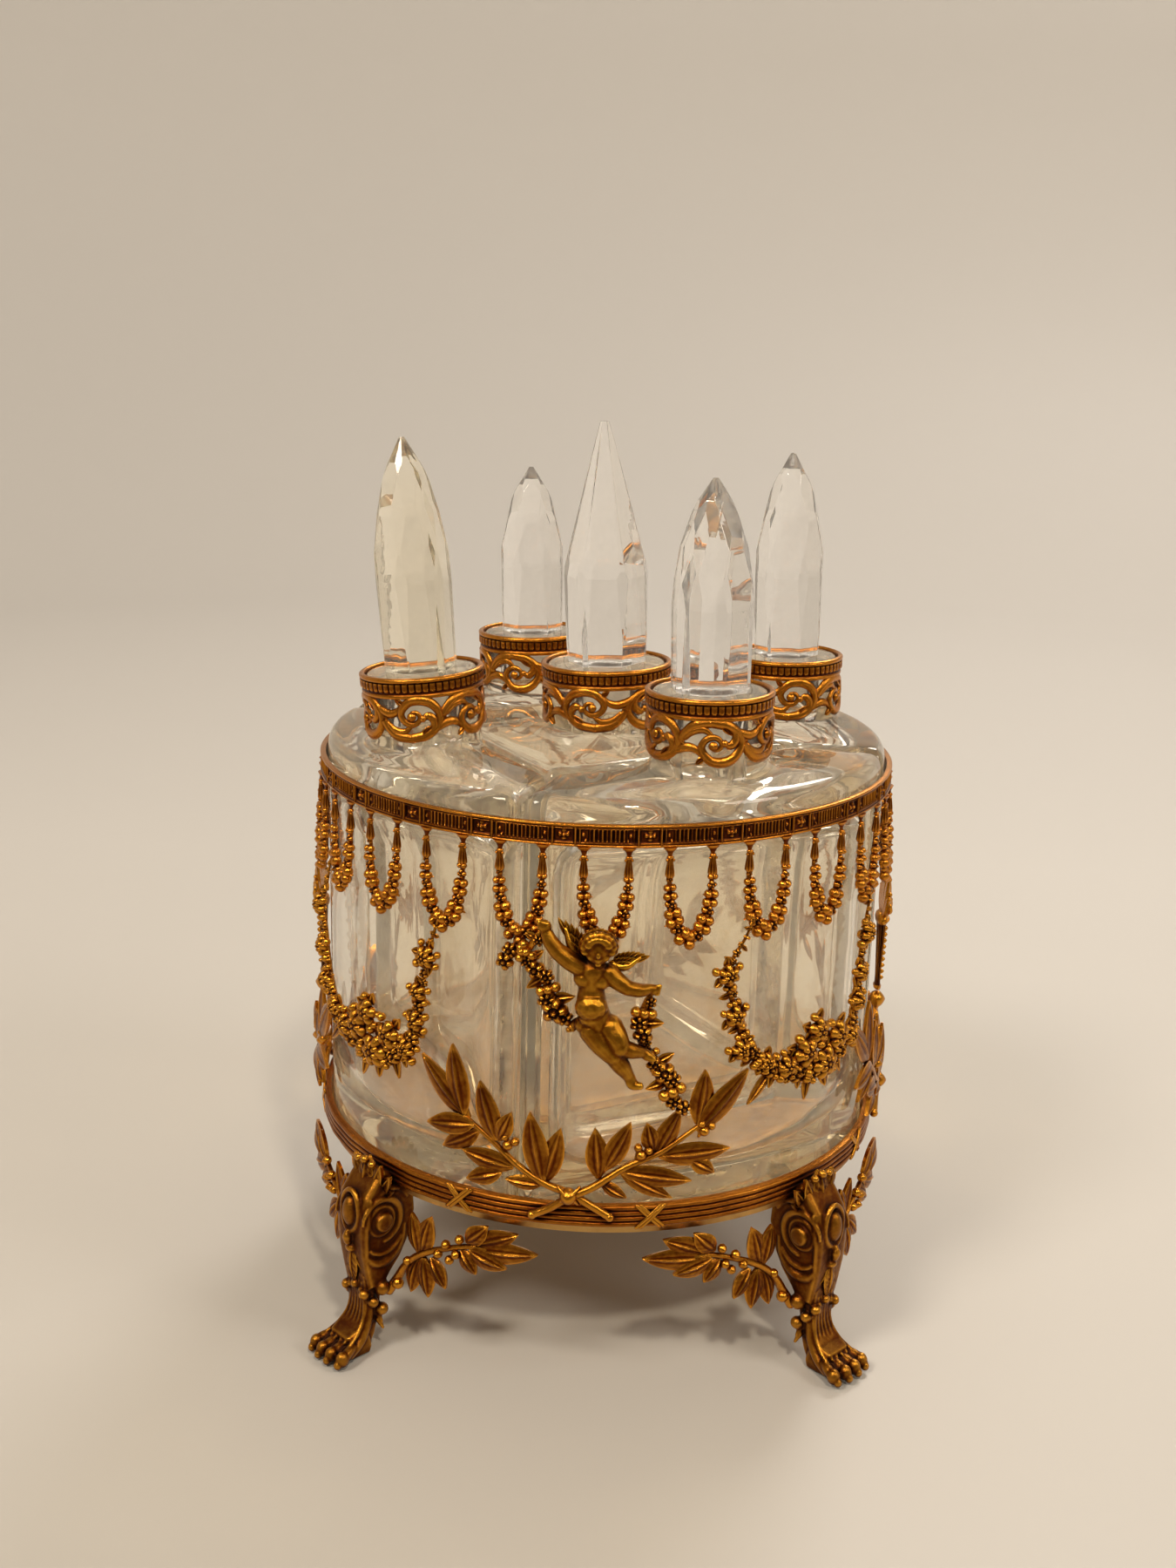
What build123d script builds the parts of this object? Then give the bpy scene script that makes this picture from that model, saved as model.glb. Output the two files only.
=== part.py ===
from build123d import *
import math
import os

# Perfume casket: a gilt bronze openwork stand on lion-paw legs that holds a
# round cluster of five cut glass scent bottles, each with a pierced gilt
# collar and a lift-out glass stopper.
# Origin: on the ground under the centre of the stand. +Z up, -Y is the front.
# Lengths in millimetres, angles in degrees.

# ---------------------------------------------------------------- stand rings
ring_in = 60.7          # inner radius of both rings
ring_out = 62.4         # crest radius of the reeded lower ring
ring_z0 = 37.5          # underside of the lower ring, top of the floor plate
ring_z1 = 42.2          # top of the lower ring
reed_count = 4
plate_r = 61.2          # floor plate that the bottles stand on
plate_t = 1.6
band_out = 62.0         # upper band
band_frieze = 61.5
band_z0 = 115.7
band_z1 = 120.1
band_repeat = 24        # square rosette blocks round the band
band_turn = 8.5         # azimuth of one block, from the front towards +X
tie_r = 63.0            # crossed ribbons round the lower ring
shell_in = 62.6         # inner radius of the ornament laid on the cage
shell_mid = 64.2        # laurel is below this radius, garlands above it

# ---------------------------------------------------------------- legs
leg_azimuths = {"front_left": -45.0, "front_right": 45.0, "back_right": 135.0, "back_left": -135.0}
leg_half = 4.6          # half width of the scroll console
shaft_half = 3.3
paw_half = 5.9
screw_r = 1.1
screw_hole_r = 1.15
screw_head_r = 2.0
screw_at = 59.0

# ---------------------------------------------------------------- glass
glass_r = 60.3          # outer wall of the bottle cluster
glass_z0 = ring_z0
glass_edge_z = 122.4    # where the shoulder bevel starts on the outer wall
glass_top_z = 124.7     # flat of the shoulder
centre_half = 29.2      # half side of the square middle bottle
bottle_gap = 0.5        # gap between neighbouring bottles
glass_wall = 4.6
glass_floor = 9.5       # thick ground base
cavity_top_z = 116.5
neck_under = 1.45       # neck radius is this much under the collar's radius
bore_r = 5.2
plug_r = 5.15
plug_len = 10.0
lip_drop = 0.4          # lip lies this far under the collar's rim

# ---------------------------------------------------------------- collars
collar_wall = 1.4
collar_h = 13.2
collar_rim_h = 4.3      # polished fillet and gadrooned band
frieze_under = 0.25     # pierced frieze set back from the rim

# name: collar radius, direction of the bottle's middle, neck radius, neck
# direction, height of the collar's rim, lean of the neck about Y, stopper height above
# the lip, turn of the stopper, stopper base width, stopper greatest width
bottles = {
    "centre": dict(collar=14.15, mid=None, neck=(0.0, 0.0), rim_z=139.3, lean=-1.9, stop_h=51.0, turn=24.0, w0=14.6, w1=15.6),
    "front": dict(collar=12.8, mid=-60.0, neck=(42.6, -61.3), rim_z=141.6, lean=-0.8, stop_h=40.8, turn=8.0, w0=14.5, w1=14.2),
    "right": dict(collar=12.8, mid=30.0, neck=(43.8, 23.7), rim_z=138.7, lean=-0.9, stop_h=44.7, turn=20.0, w0=12.2, w1=13.2),
    "back": dict(collar=12.8, mid=120.0, neck=(42.6, 115.4), rim_z=138.8, lean=-1.3, stop_h=38.4, turn=35.0, w0=12.2, w1=12.8),
    "left": dict(collar=12.8, mid=-150.0, neck=(42.6, -150.5), rim_z=140.8, lean=-4.8, stop_h=46.7, turn=-12.0, w0=12.9, w1=13.4),
}

os.makedirs("parts", exist_ok=True)


def save(part, label):
    part.label = label
    export_step(part, "parts/" + label + ".step")


# ------------------------------------------------------------ outline helpers
# Ornament is drawn as seen from outside, x = R sin(azimuth), y = height.
def leaf(x0, z0, x1, z1, w, sharp=0.42):
    dx, dz = x1 - x0, z1 - z0
    n = math.hypot(dx, dz)
    tx, tz = dx / n, dz / n
    px, pz = -tz, tx
    side = [(0.0, 0.16), (0.22, 0.42), (sharp, 0.5), (0.72, 0.33), (1.0, 0.04)]
    pts = [(x0 + tx * n * s + px * w * h, z0 + tz * n * s + pz * w * h) for s, h in side]
    pts += [(x0 + tx * n * s - px * w * h, z0 + tz * n * s - pz * w * h) for s, h in reversed(side)]
    return pts


def strip(points, widths):
    left, right = [], []
    for i, (x, z) in enumerate(points):
        a = points[max(i - 1, 0)]
        b = points[min(i + 1, len(points) - 1)]
        n = math.hypot(b[0] - a[0], b[1] - a[1])
        px, pz = -(b[1] - a[1]) / n, (b[0] - a[0]) / n
        w = widths[i] if isinstance(widths, (list, tuple)) else widths
        left.append((x + px * w / 2, z + pz * w / 2))
        right.append((x - px * w / 2, z - pz * w / 2))
    return left + right[::-1]


def blob(x, z, r, n=10):
    return [(x + r * math.cos(2 * math.pi * (i + 0.5) / n), z + r * math.sin(2 * math.pi * (i + 0.5) / n)) for i in range(n)]


def on_cage(azimuth, z, radius=64.0):
    return (radius * math.sin(math.radians(azimuth)), z)


def patch(pts):
    Polygon(*pts, align=None)


# ================================================================== the stand
# Floor plate inside the foot of the cage, drilled for the four leg screws.
with BuildPart() as base_plate:
    with BuildSketch(Plane.XY.offset(ring_z0 - plate_t)):
        Circle(plate_r)
    extrude(amount=plate_t)
    with Locations(Plane.XY.offset(ring_z0)):
        with PolarLocations(screw_at, 4, start_angle=45):
            CounterSinkHole(radius=screw_hole_r, counter_sink_radius=screw_head_r + 0.1, depth=plate_t, counter_sink_angle=90)
save(base_plate.part, "base_plate")

# Lower ring: a bundle of reeds bent round the foot of the cage.
reed_h = (ring_z1 - ring_z0) / reed_count
with BuildPart() as lower_ring:
    with BuildSketch(Plane.XZ) as ring_profile:
        with BuildLine():
            base_x = ring_out - 0.5
            Line((ring_in, ring_z0), (base_x, ring_z0))
            for i in range(reed_count):
                z0 = ring_z0 + i * reed_h
                ThreePointArc((base_x, z0), (ring_out, z0 + reed_h / 2), (base_x, z0 + reed_h))
            Line((base_x, ring_z1), (ring_in, ring_z1))
            Line((ring_in, ring_z1), (ring_in, ring_z0))
        make_face()
    revolve(axis=Axis.Z)
save(lower_ring.part, "lower_ring")

# Crossed ribbons that bind the reeds, a pair for each panel.
tie_azimuths = [-25.3 + 90 * k for k in range(4)] + [10.8 + 90 * k for k in range(4)]
with BuildPart() as ribbon_tie:
    with BuildSketch(Plane.XZ.offset(58)):
        h = (ring_z1 - ring_z0) / 2 + 0.15
        zc = (ring_z0 + ring_z1) / 2
        patch(strip([(-2.3, zc - h), (0, zc), (2.3, zc + h)], 1.25))
        patch(strip([(-2.3, zc + h), (0, zc), (2.3, zc - h)], 1.25))
    extrude(amount=8)
    with Locations((0, 0, ring_z0 - 5)):
        Cylinder(tie_r, 20, align=(Align.CENTER, Align.CENTER, Align.MIN), mode=Mode.INTERSECT)
        Cylinder(ring_out, 20, align=(Align.CENTER, Align.CENTER, Align.MIN), mode=Mode.SUBTRACT)
with BuildPart() as ribbon_ties:
    with Locations(*[Location((0, 0, 0), (0, 0, a)) for a in tie_azimuths]):
        add(ribbon_tie.part)
save(ribbon_ties.part, "ribbon_ties")

# Upper band: fillets above and below a sunk frieze, with square blocks.
with BuildPart() as upper_band:
    with BuildSketch(Plane.XZ):
        with BuildLine():
            Polyline(
                (ring_in, band_z0), (band_out, band_z0), (band_out, band_z0 + 0.75),
                (band_frieze, band_z0 + 1.0), (band_frieze, band_z1 - 1.0),
                (band_out, band_z1 - 0.75), (band_out, band_z1), (ring_in, band_z1), close=True)
        make_face()
    revolve(axis=Axis.Z)
    with BuildSketch(Plane.XZ.offset(60.9)):
        with Locations((0, (band_z0 + band_z1) / 2)):
            Rectangle(3.6, band_z1 - band_z0 - 1.2)
    block = extrude(amount=band_out - 60.9 - 0.05, mode=Mode.PRIVATE)
    with PolarLocations(0, band_repeat, start_angle=band_turn):
        add(block)
save(upper_band.part, "upper_band")

# One rosette boss on the face of each block.
with BuildPart() as rosette:
    with BuildSketch(Plane.XZ.offset(band_out - 0.05)):
        with Locations((0, (band_z0 + band_z1) / 2)):
            RegularPolygon(1.15, 8)
    extrude(amount=0.5, taper=18)
with BuildPart() as band_rosettes:
    with PolarLocations(0, band_repeat, start_angle=band_turn):
        add(rosette.part)
save(band_rosettes.part, "band_rosettes")

# Festoon hung under each frieze panel: two bell pendants and the swag that
# swings between them.
festoon_x = 4.35
swag_low = 96.2
with BuildPart() as festoon:
    with BuildSketch(Plane.XZ.offset(56)):
        for s in (-1, 1):
            patch([(s * (festoon_x - 1.35), band_z0), (s * (festoon_x + 1.35), band_z0),
                       (s * (festoon_x + 0.75), band_z0 - 1.6), (s * (festoon_x + 1.05), band_z0 - 4.6),
                       (s * (festoon_x + 0.5), band_z0 - 6.2), (s * (festoon_x - 0.5), band_z0 - 6.2),
                       (s * (festoon_x - 1.05), band_z0 - 4.6), (s * (festoon_x - 0.75), band_z0 - 1.6)][::s])
        u = [(festoon_x, band_z0 - 5.6), (festoon_x - 0.2, 106.0), (festoon_x - 0.9, 102.0), (2.3, 98.9), (0.8, 97.5), (0.0, 97.35)]
        u = u + [(-x, z) for x, z in reversed(u[:-1])]
        patch(strip(u, [1.4, 1.5, 1.9, 2.2, 2.3, 2.4, 2.3, 2.2, 1.9, 1.5, 1.4]))
    extrude(amount=12)
    with Locations((0, 0, 90)):
        Cylinder(shell_in, 40, align=(Align.CENTER, Align.CENTER, Align.MIN), mode=Mode.INTERSECT)
        Cylinder(ring_in + 0.3, 40, align=(Align.CENTER, Align.CENTER, Align.MIN), mode=Mode.SUBTRACT)
with BuildPart() as band_festoons:
    with PolarLocations(0, band_repeat, start_angle=band_turn + 180 / band_repeat):
        add(festoon.part)
save(band_festoons.part, "band_festoons")

# Laurel: two branches crossed over the lower ring in the middle of a panel.
laurel_leaves = [
    (-22.9, 58.1, -32.9, 69.5, 4.2), (-23.9, 58.4, -26.2, 73.4, 4.2), (-21.7, 57.3, -31.3, 55.6, 3.8),
    (-20.8, 56.0, -28.3, 51.0, 3.4), (-17.6, 54.7, -20.7, 66.8, 4.0), (-17.0, 54.8, -14.5, 61.6, 3.0),
    (-14.2, 49.4, -24.0, 51.5, 3.8), (-16.4, 48.0, -23.1, 45.5, 3.2), (-8.8, 47.2, -11.2, 62.1, 4.2),
    (-8.5, 47.0, -5.7, 59.1, 3.8), (-8.9, 46.6, -15.6, 47.1, 2.6),
    (18.5, 58.0, 27.9, 69.9, 4.2), (18.6, 59.3, 19.8, 70.7, 4.0), (11.7, 53.3, 25.0, 53.6, 4.0),
    (17.6, 51.9, 22.0, 48.9, 2.8), (11.2, 53.5, 15.3, 63.0, 3.6), (10.7, 54.3, 9.4, 60.6, 3.0),
    (4.8, 50.4, 17.8, 47.7, 3.6), (4.8, 50.2, 14.4, 44.2, 2.8), (1.1, 48.7, 0.3, 59.5, 3.8),
    (2.1, 50.6, 6.5, 61.0, 3.6), (1.6, 47.8, 6.2, 44.7, 2.2)]
laurel_stems = [
    [(3.3, 40.3), (-0.5, 43.0), (-4.1, 45.4), (-8.2, 46.9), (-13.1, 49.8), (-18.8, 54.8), (-23.9, 58.6)],
    [(-10.6, 40.0), (-7.2, 42.0), (-4.1, 44.6), (0.1, 47.0), (5.8, 51.2), (12.0, 54.2), (18.6, 58.9)]]
with BuildPart() as laurel:
    with BuildSketch(Plane.XZ.offset(40)):
        for a0, z0, a1, z1, w in laurel_leaves:
            x0, _ = on_cage(a0, z0)
            x1, _ = on_cage(a1, z1)
            patch(leaf(x0, z0, x1, z1, w))
        for pts in laurel_stems:
            patch(strip([on_cage(a, z) for a, z in pts], [1.3, 1.5, 1.7, 1.7, 1.6, 1.5, 1.3]))
        for a, z in ((-15.2, 54.3), (8.5, 53.8), (19.9, 57.9)):
            x, _ = on_cage(a, z)
            patch(blob(x, z, 1.9))
    extrude(amount=30)
    with Locations((0, 0, 30)):
        Cylinder(shell_mid - 0.1, 60, align=(Align.CENTER, Align.CENTER, Align.MIN), mode=Mode.INTERSECT)
        Cylinder(shell_in, 60, align=(Align.CENTER, Align.CENTER, Align.MIN), mode=Mode.SUBTRACT)
    # ball over the crossing
    with BuildSketch(Plane.XZ.offset(shell_in)):
        with Locations(on_cage(-4.1, 45.4, shell_in)):
            RegularPolygon(2.0, 12)
    extrude(amount=2.5, taper=20)
panels = {"front": 0.0, "right": 90.0, "back": 180.0, "left": -90.0}
for pname, pa in panels.items():
    with BuildPart() as laurel_copy:
        add(laurel.part, rotation=(0, 0, pa))
    save(laurel_copy.part, "laurel_" + pname)

# Winged child holding two garlands above the laurel.
garland_left = [(-15.6, 92.2), (-13.6, 93.8), (-11.8, 94.4), (-9.8, 91.6), (-8.2, 87.6), (-6.3, 82.5), (-3.7, 79.3)]
garland_right = [(10.4, 88.8), (9.2, 84.5), (8.7, 80.3), (9.8, 76.0), (12.0, 71.8), (14.8, 67.2), (16.5, 64.2)]
with BuildPart() as putto:
    with BuildSketch(Plane.XZ.offset(50)):
        for chain in (garland_left, garland_right):
            patch(strip([on_cage(a, z, 65) for a, z in chain], 1.9))
        patch(strip([on_cage(a, z, 65) for a, z in ((-9.2, 100.8), (-10.9, 97.4), (-11.8, 94.4))], 1.6))
        for a, z, r in ((-15.4, 92.6, 1.7), (-11.8, 94.4, 1.9), (-8.2, 87.6, 1.8), (-6.3, 82.5, 1.6),
                        (9.2, 84.5, 1.8), (8.9, 79.5, 1.8), (12.0, 71.8, 1.9), (15.0, 66.9, 1.9)):
            patch(blob(*on_cage(a, z, 65), r))
        for x0, z0, x1, z1, w in ((-2.6, 93.6, -8.6, 102.4, 4.4), (2.8, 93.2, 10.4, 93.6, 4.0)):
            patch(leaf(x0, z0, x1, z1, w, 0.5))
        patch([(-3.6, 94.2), (3.2, 93.8), (3.2, 88.0), (2.6, 81.5), (-0.8, 81.0), (-2.6, 86.0)])
    extrude(amount=20)
    with Locations((0, 0, 30)):
        Cylinder(66.0, 90, align=(Align.CENTER, Align.CENTER, Align.MIN), mode=Mode.INTERSECT)
        Cylinder(shell_in, 90, align=(Align.CENTER, Align.CENTER, Align.MIN), mode=Mode.SUBTRACT)
        Cylinder(shell_mid, 48, align=(Align.CENTER, Align.CENTER, Align.MIN), mode=Mode.SUBTRACT)
    # head, chest and belly
    for a, z, r0, r in ((0.6, 97.9, 66.2, 3.6), (0.0, 90.9, 65.4, 3.5), (0.3, 84.6, 65.6, 3.5)):
        x, _ = on_cage(a, z, r0)
        with Locations((x, -r0 * math.cos(math.radians(a)), z)):
            Sphere(r)
    # limbs: tapered rounds laid between joints
    limbs = [((-3.1, 93.6, 65.6), (-6.5, 96.2, 65.9), 1.7, 1.4), ((-6.5, 96.2, 65.9), (-9.2, 100.6, 65.6), 1.4, 1.0),
             ((2.4, 92.8, 65.6), (4.9, 89.9, 66.3), 1.7, 1.4), ((4.9, 89.9, 66.3), (10.2, 89.2, 65.9), 1.4, 1.0),
             ((-0.4, 83.4, 66.0), (1.8, 76.2, 67.0), 2.5, 1.9), ((1.8, 76.2, 67.0), (7.0, 70.0, 66.2), 1.9, 1.2),
             ((1.6, 83.2, 66.2), (6.1, 78.6, 67.6), 2.5, 1.9), ((6.1, 78.6, 67.6), (10.6, 76.0, 66.6), 1.9, 1.2)]
    for (a0, z0, q0), (a1, z1, q1), r0, r1 in limbs:
        p0 = Vector(q0 * math.sin(math.radians(a0)), -q0 * math.cos(math.radians(a0)), z0)
        p1 = Vector(q1 * math.sin(math.radians(a1)), -q1 * math.cos(math.radians(a1)), z1)
        with BuildSketch(Plane(origin=p0, z_dir=(p1 - p0))):
            Circle(r0)
        with BuildSketch(Plane(origin=p1, z_dir=(p1 - p0))):
            Circle(r1)
        loft()
        with Locations(p1):
            Sphere(r1 * 1.06)
    with Locations((0, 0, 30)):
        Cylinder(shell_in, 90, align=(Align.CENTER, Align.CENTER, Align.MIN), mode=Mode.SUBTRACT)
        Cylinder(shell_mid, 48, align=(Align.CENTER, Align.CENTER, Align.MIN), mode=Mode.SUBTRACT)
for pname in ("front", "back"):
    with BuildPart() as putto_copy:
        add(putto.part, rotation=(0, 0, panels[pname]))
    save(putto_copy.part, "putto_" + pname)

# Upright torch on the side panels: leaf tuft, tapered shaft with a bead row
# and a ball under it, hung from the middle festoon.
with BuildPart() as torch:
    with BuildSketch(Plane.XZ.offset(50)):
        patch([(-1.4, 65.4), (1.4, 65.4), (1.9, 74.0), (2.7, 83.2), (-2.7, 83.2), (-1.9, 74.0)])
        patch([(-0.9, 63.0), (0.9, 63.0), (0.9, 66.0), (-0.9, 66.0)])
        patch([(-2.1, 64.9), (2.1, 64.9), (2.1, 66.5), (-2.1, 66.5)])
        patch([(-3.3, 81.4), (3.3, 81.4), (3.6, 83.4), (-3.6, 83.4)])
        patch([(-0.9, 88.0), (0.9, 88.0), (0.7, 98.0), (-0.7, 98.0)])
        for x1, z1, w in ((0.0, 94.2, 4.4), (-3.6, 92.6, 4.2), (3.6, 92.6, 4.2), (-5.6, 88.6, 3.8), (5.6, 88.6, 3.8)):
            patch(leaf(0.0 + x1 * 0.18, 82.4, x1, z1, w, 0.5))
    extrude(amount=20)
    with Locations((0, 0, 30)):
        Cylinder(63.9, 90, align=(Align.CENTER, Align.CENTER, Align.MIN), mode=Mode.INTERSECT)
    for x, z, r0, r in ((0.0, 62.6, 62.9, 2.0), (-2.0, 86.2, 63.0, 1.7), (2.0, 86.2, 63.0, 1.7), (0.0, 87.6, 63.2, 1.9)):
        with Locations((x, -r0, z)):
            Sphere(r)
    with Locations((0, 0, 30)):
        Cylinder(shell_in, 90, align=(Align.CENTER, Align.CENTER, Align.MIN), mode=Mode.SUBTRACT)
for pname in ("right", "left"):
    with BuildPart() as torch_copy:
        add(torch.part, rotation=(0, 0, panels[pname]))
    save(torch_copy.part, "torch_" + pname)

# Deep garland of flowers slung between two panels, over each leg.
flower_chain = [(-17.5, 100.6), (-18.5, 97.4), (-20.7, 93.8), (-22.1, 90.0), (-20.6, 84.0), (-18.6, 77.0), (-15.6, 71.5),
                (-12.0, 68.6), (-6.0, 66.2), (0.0, 65.6), (6.0, 67.4), (10.0, 71.4), (11.4, 78.0), (12.4, 84.0),
                (13.4, 90.0), (14.6, 94.6), (15.8, 98.6)]
flower_heads = [(-22.0, 90.2, 2.6), (-20.4, 81.5, 2.6), (-19.0, 74.4, 2.4), (-13.6, 70.6, 2.3), (-9.0, 68.6, 2.8),
                (-4.4, 70.4, 3.6), (0.8, 66.6, 4.0), (-1.4, 74.2, 3.2), (4.6, 71.4, 3.4), (9.0, 69.8, 2.6),
                (11.2, 76.4, 2.5), (11.8, 82.6, 2.3), (13.6, 90.4, 2.7)]
with BuildPart() as flowers:
    with BuildSketch(Plane.XZ.offset(50)):
        patch(strip([on_cage(a, z, 65) for a, z in flower_chain], 2.2))
        for a, z, r in flower_heads:
            patch(blob(*on_cage(a, z, 65), r + 0.3))
        patch(leaf(-12.5, 68.6, -18.8, 62.0, 3.2))
        patch(leaf(0.0, 64.0, -4.0, 59.6, 3.2))
    extrude(amount=20)
    with Locations((0, 0, 30)):
        Cylinder(65.6, 90, align=(Align.CENTER, Align.CENTER, Align.MIN), mode=Mode.INTERSECT)
        Cylinder(shell_in, 90, align=(Align.CENTER, Align.CENTER, Align.MIN), mode=Mode.SUBTRACT)
        Cylinder(shell_mid, 48, align=(Align.CENTER, Align.CENTER, Align.MIN), mode=Mode.SUBTRACT)
    for a, z, r in flower_heads:
        x, _ = on_cage(a, z, 65.0)
        with Locations((x, -65.0 * math.cos(math.radians(a)), z)):
            Sphere(r * 0.86)
    with Locations((0, 0, 30)):
        Cylinder(shell_in, 90, align=(Align.CENTER, Align.CENTER, Align.MIN), mode=Mode.SUBTRACT)
        Cylinder(shell_mid, 48, align=(Align.CENTER, Align.CENTER, Align.MIN), mode=Mode.SUBTRACT)
for lname, la in leg_azimuths.items():
    with BuildPart() as flowers_copy:
        add(flowers.part, rotation=(0, 0, la))
    save(flowers_copy.part, "flower_garland_" + lname)

# ================================================================== the legs
# Drawn pointing to the front (-Y): x is sideways, the profile is in Y and Z.
console = [(56.0, 35.9), (62.6, 35.9), (62.6, 42.6), (64.4, 43.2), (66.0, 41.4), (67.4, 38.6), (69.2, 36.0),
           (70.2, 32.4), (70.3, 28.0), (69.9, 23.0), (69.2, 18.0), (68.9, 15.5), (64.7, 15.5), (62.8, 17.4),
           (60.0, 20.0), (58.0, 23.6), (57.2, 27.0), (56.0, 27.4)]
shaft = [(64.7, 17.0), (69.0, 17.0), (68.9, 12.0), (69.6, 8.4), (72.0, 6.6), (74.0, 5.8), (74.0, 1.0), (68.0, 1.0),
         (66.2, 4.2), (65.2, 8.0), (64.7, 12.0)]
paw = [(67.0, 0.0), (77.4, 0.0), (78.2, 1.2), (77.6, 3.8), (75.6, 5.2), (72.0, 6.2), (69.5, 5.9), (67.4, 3.6), (66.5, 1.4)]
leg_plane = Plane(origin=(0, 0, 0), x_dir=(0, -1, 0), z_dir=(-1, 0, 0))
with BuildPart() as leg:
    with BuildSketch(leg_plane):
        patch(console)
    extrude(amount=leg_half, both=True)
    with BuildSketch(leg_plane):
        patch(shaft)
    extrude(amount=shaft_half, both=True)
    with BuildSketch(leg_plane):
        patch(paw)
    extrude(amount=paw_half - 0.9, both=True)
    # four toes
    for i in range(4):
        with BuildSketch(Plane.XZ.offset(73.6 - 0.4 * abs(i - 1.5))):
            with Locations((-4.35 + 2.9 * i, 2.55)):
                RegularPolygon(2.45, 8, rotation=22.5)
        extrude(amount=5.6, taper=9)
    # stepped eyes of the scroll on both side faces
    for s in (-1, 1):
        with BuildSketch(Plane(origin=(s * leg_half, -65.2, 30.2), x_dir=(0, -1, 0), z_dir=(s, 0, 0))):
            RegularPolygon(4.6, 20)
        extrude(amount=0.8)
        with BuildSketch(Plane(origin=(s * (leg_half + 0.8), -65.8, 30.6), x_dir=(0, -1, 0), z_dir=(s, 0, 0))):
            RegularPolygon(2.4, 16)
        extrude(amount=0.9, taper=15)
        # knobs beside the shaft
        for yy, zz, kr in ((-66.6, 13.2, 1.7), (-67.3, 7.6, 1.5)):
            with BuildSketch(Plane(origin=(s * (shaft_half - 0.5), yy, zz), x_dir=(0, -1, 0), z_dir=(s, 0, 0))):
                RegularPolygon(kr, 8)
            extrude(amount=2.6, taper=14)
    # oval boss and drop on the outer face
    with BuildSketch(Plane.XZ.offset(69.4)):
        patch([(2.9 * math.cos(math.pi * i / 8), 32.6 + 4.3 * math.sin(math.pi * i / 8)) for i in range(16)])
    extrude(amount=2.0, taper=12)
    with BuildSketch(Plane.XZ.offset(68.6)):
        patch(leaf(0, 27.6, 0, 16.4, 3.6, 0.35))
    extrude(amount=2.3)
    # screw hole down from the floor plate
    with BuildSketch(Plane.XY.offset(27.9)):
        with Locations((0, -screw_at)):
            Circle(screw_hole_r)
    extrude(amount=12, mode=Mode.SUBTRACT)
    with BuildSketch(Plane.XY.offset(36.0)):
        Circle(ring_out + 0.2)
    extrude(amount=12, mode=Mode.SUBTRACT)
for lname, la in leg_azimuths.items():
    with BuildPart() as leg_copy:
        add(leg.part, rotation=(0, 0, la))
    save(leg_copy.part, "leg_" + lname)

# Countersunk screws from the floor plate down into the legs.
with BuildPart() as screw:
    with BuildSketch(Plane.XY.offset(28.5)):
        Circle(screw_r)
    extrude(amount=8.0)
    with BuildSketch(Plane.XZ) as head_profile:
        patch([(0, 36.2), (screw_r, 36.2), (screw_r, ring_z0 - 0.1 - (screw_head_r - screw_r)),
                   (screw_head_r, ring_z0 - 0.1), (0, ring_z0 - 0.1)])
    revolve(axis=Axis.Z)
    with BuildSketch(Plane.XY.offset(ring_z0 - 0.1)):
        Rectangle(3.2, 0.5)
    extrude(amount=-0.45, mode=Mode.SUBTRACT)
with BuildPart() as leg_screws:
    for lname, la in leg_azimuths.items():
        a = math.radians(la)
        with Locations((screw_at * math.sin(a), -screw_at * math.cos(a), 0)):
            add(screw.part)
save(leg_screws.part, "leg_screws")

# Laurel sprays that grow from the sides of each leg under the ring.
# x is the distance sideways from the middle of the leg, to the front-left.
spray_leaves = [(-13.4, 25.4, -16.0, 34.6, 3.6), (-12.6, 25.2, -11.2, 34.0, 3.4), (-24.0, 31.4, -28.4, 36.0, 3.2),
                (-25.6, 31.0, -34.0, 35.4, 3.4), (-25.8, 30.2, -37.4, 31.6, 3.6), (-24.6, 29.8, -32.0, 27.4, 3.4),
                (-22.6, 29.0, -26.2, 24.8, 3.0), (-15.8, 25.2, -19.8, 19.8, 3.2), (-14.2, 24.8, -15.6, 16.4, 3.6),
                (-12.4, 23.8, -10.9, 15.8, 3.2)]
spray_stem = [(-4.6, 13.6), (-6.6, 17.2), (-8.6, 20.4), (-11.6, 23.8), (-15.0, 26.2), (-19.0, 28.2), (-23.4, 30.0), (-26.0, 30.6)]
for lname, la in leg_azimuths.items():
    for side, s in (("left", 1), ("right", -1)):
        with BuildPart() as spray:
            with BuildSketch(Plane.XZ.offset(45)):
                for x0, z0, x1, z1, w in spray_leaves:
                    patch(leaf(s * x0, z0, s * x1, z1, w))
                patch(strip([(s * x, z) for x, z in spray_stem], [1.5, 1.6, 1.6, 1.7, 1.7, 1.6, 1.5, 1.3]))
                for x, z in ((-19.6, 29.6), (-21.8, 28.0), (-17.8, 27.0)):
                    patch(blob(s * x, z, 1.5))
            extrude(amount=25)
            with Locations((0, 0, 5)):
                Cylinder(64.6, 40, align=(Align.CENTER, Align.CENTER, Align.MIN), mode=Mode.INTERSECT)
                Cylinder(shell_in, 40, align=(Align.CENTER, Align.CENTER, Align.MIN), mode=Mode.SUBTRACT)
            with Locations((0, 0, 0)):
                Box(2 * (leg_half + 1.0), 200, 100, mode=Mode.SUBTRACT)
            with BuildSketch(Plane.XZ.offset(62.7)):
                patch([(s * -(shaft_half + 1.6), 12.0), (s * -(shaft_half + 1.6), 15.2), (s * -7.6, 18.0), (s * -6.4, 15.0)][::s])
            extrude(amount=1.7)
        with BuildPart() as spray_copy:
            add(spray.part, rotation=(0, 0, la))
        save(spray_copy.part, "spray_" + lname + "_" + side)


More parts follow.
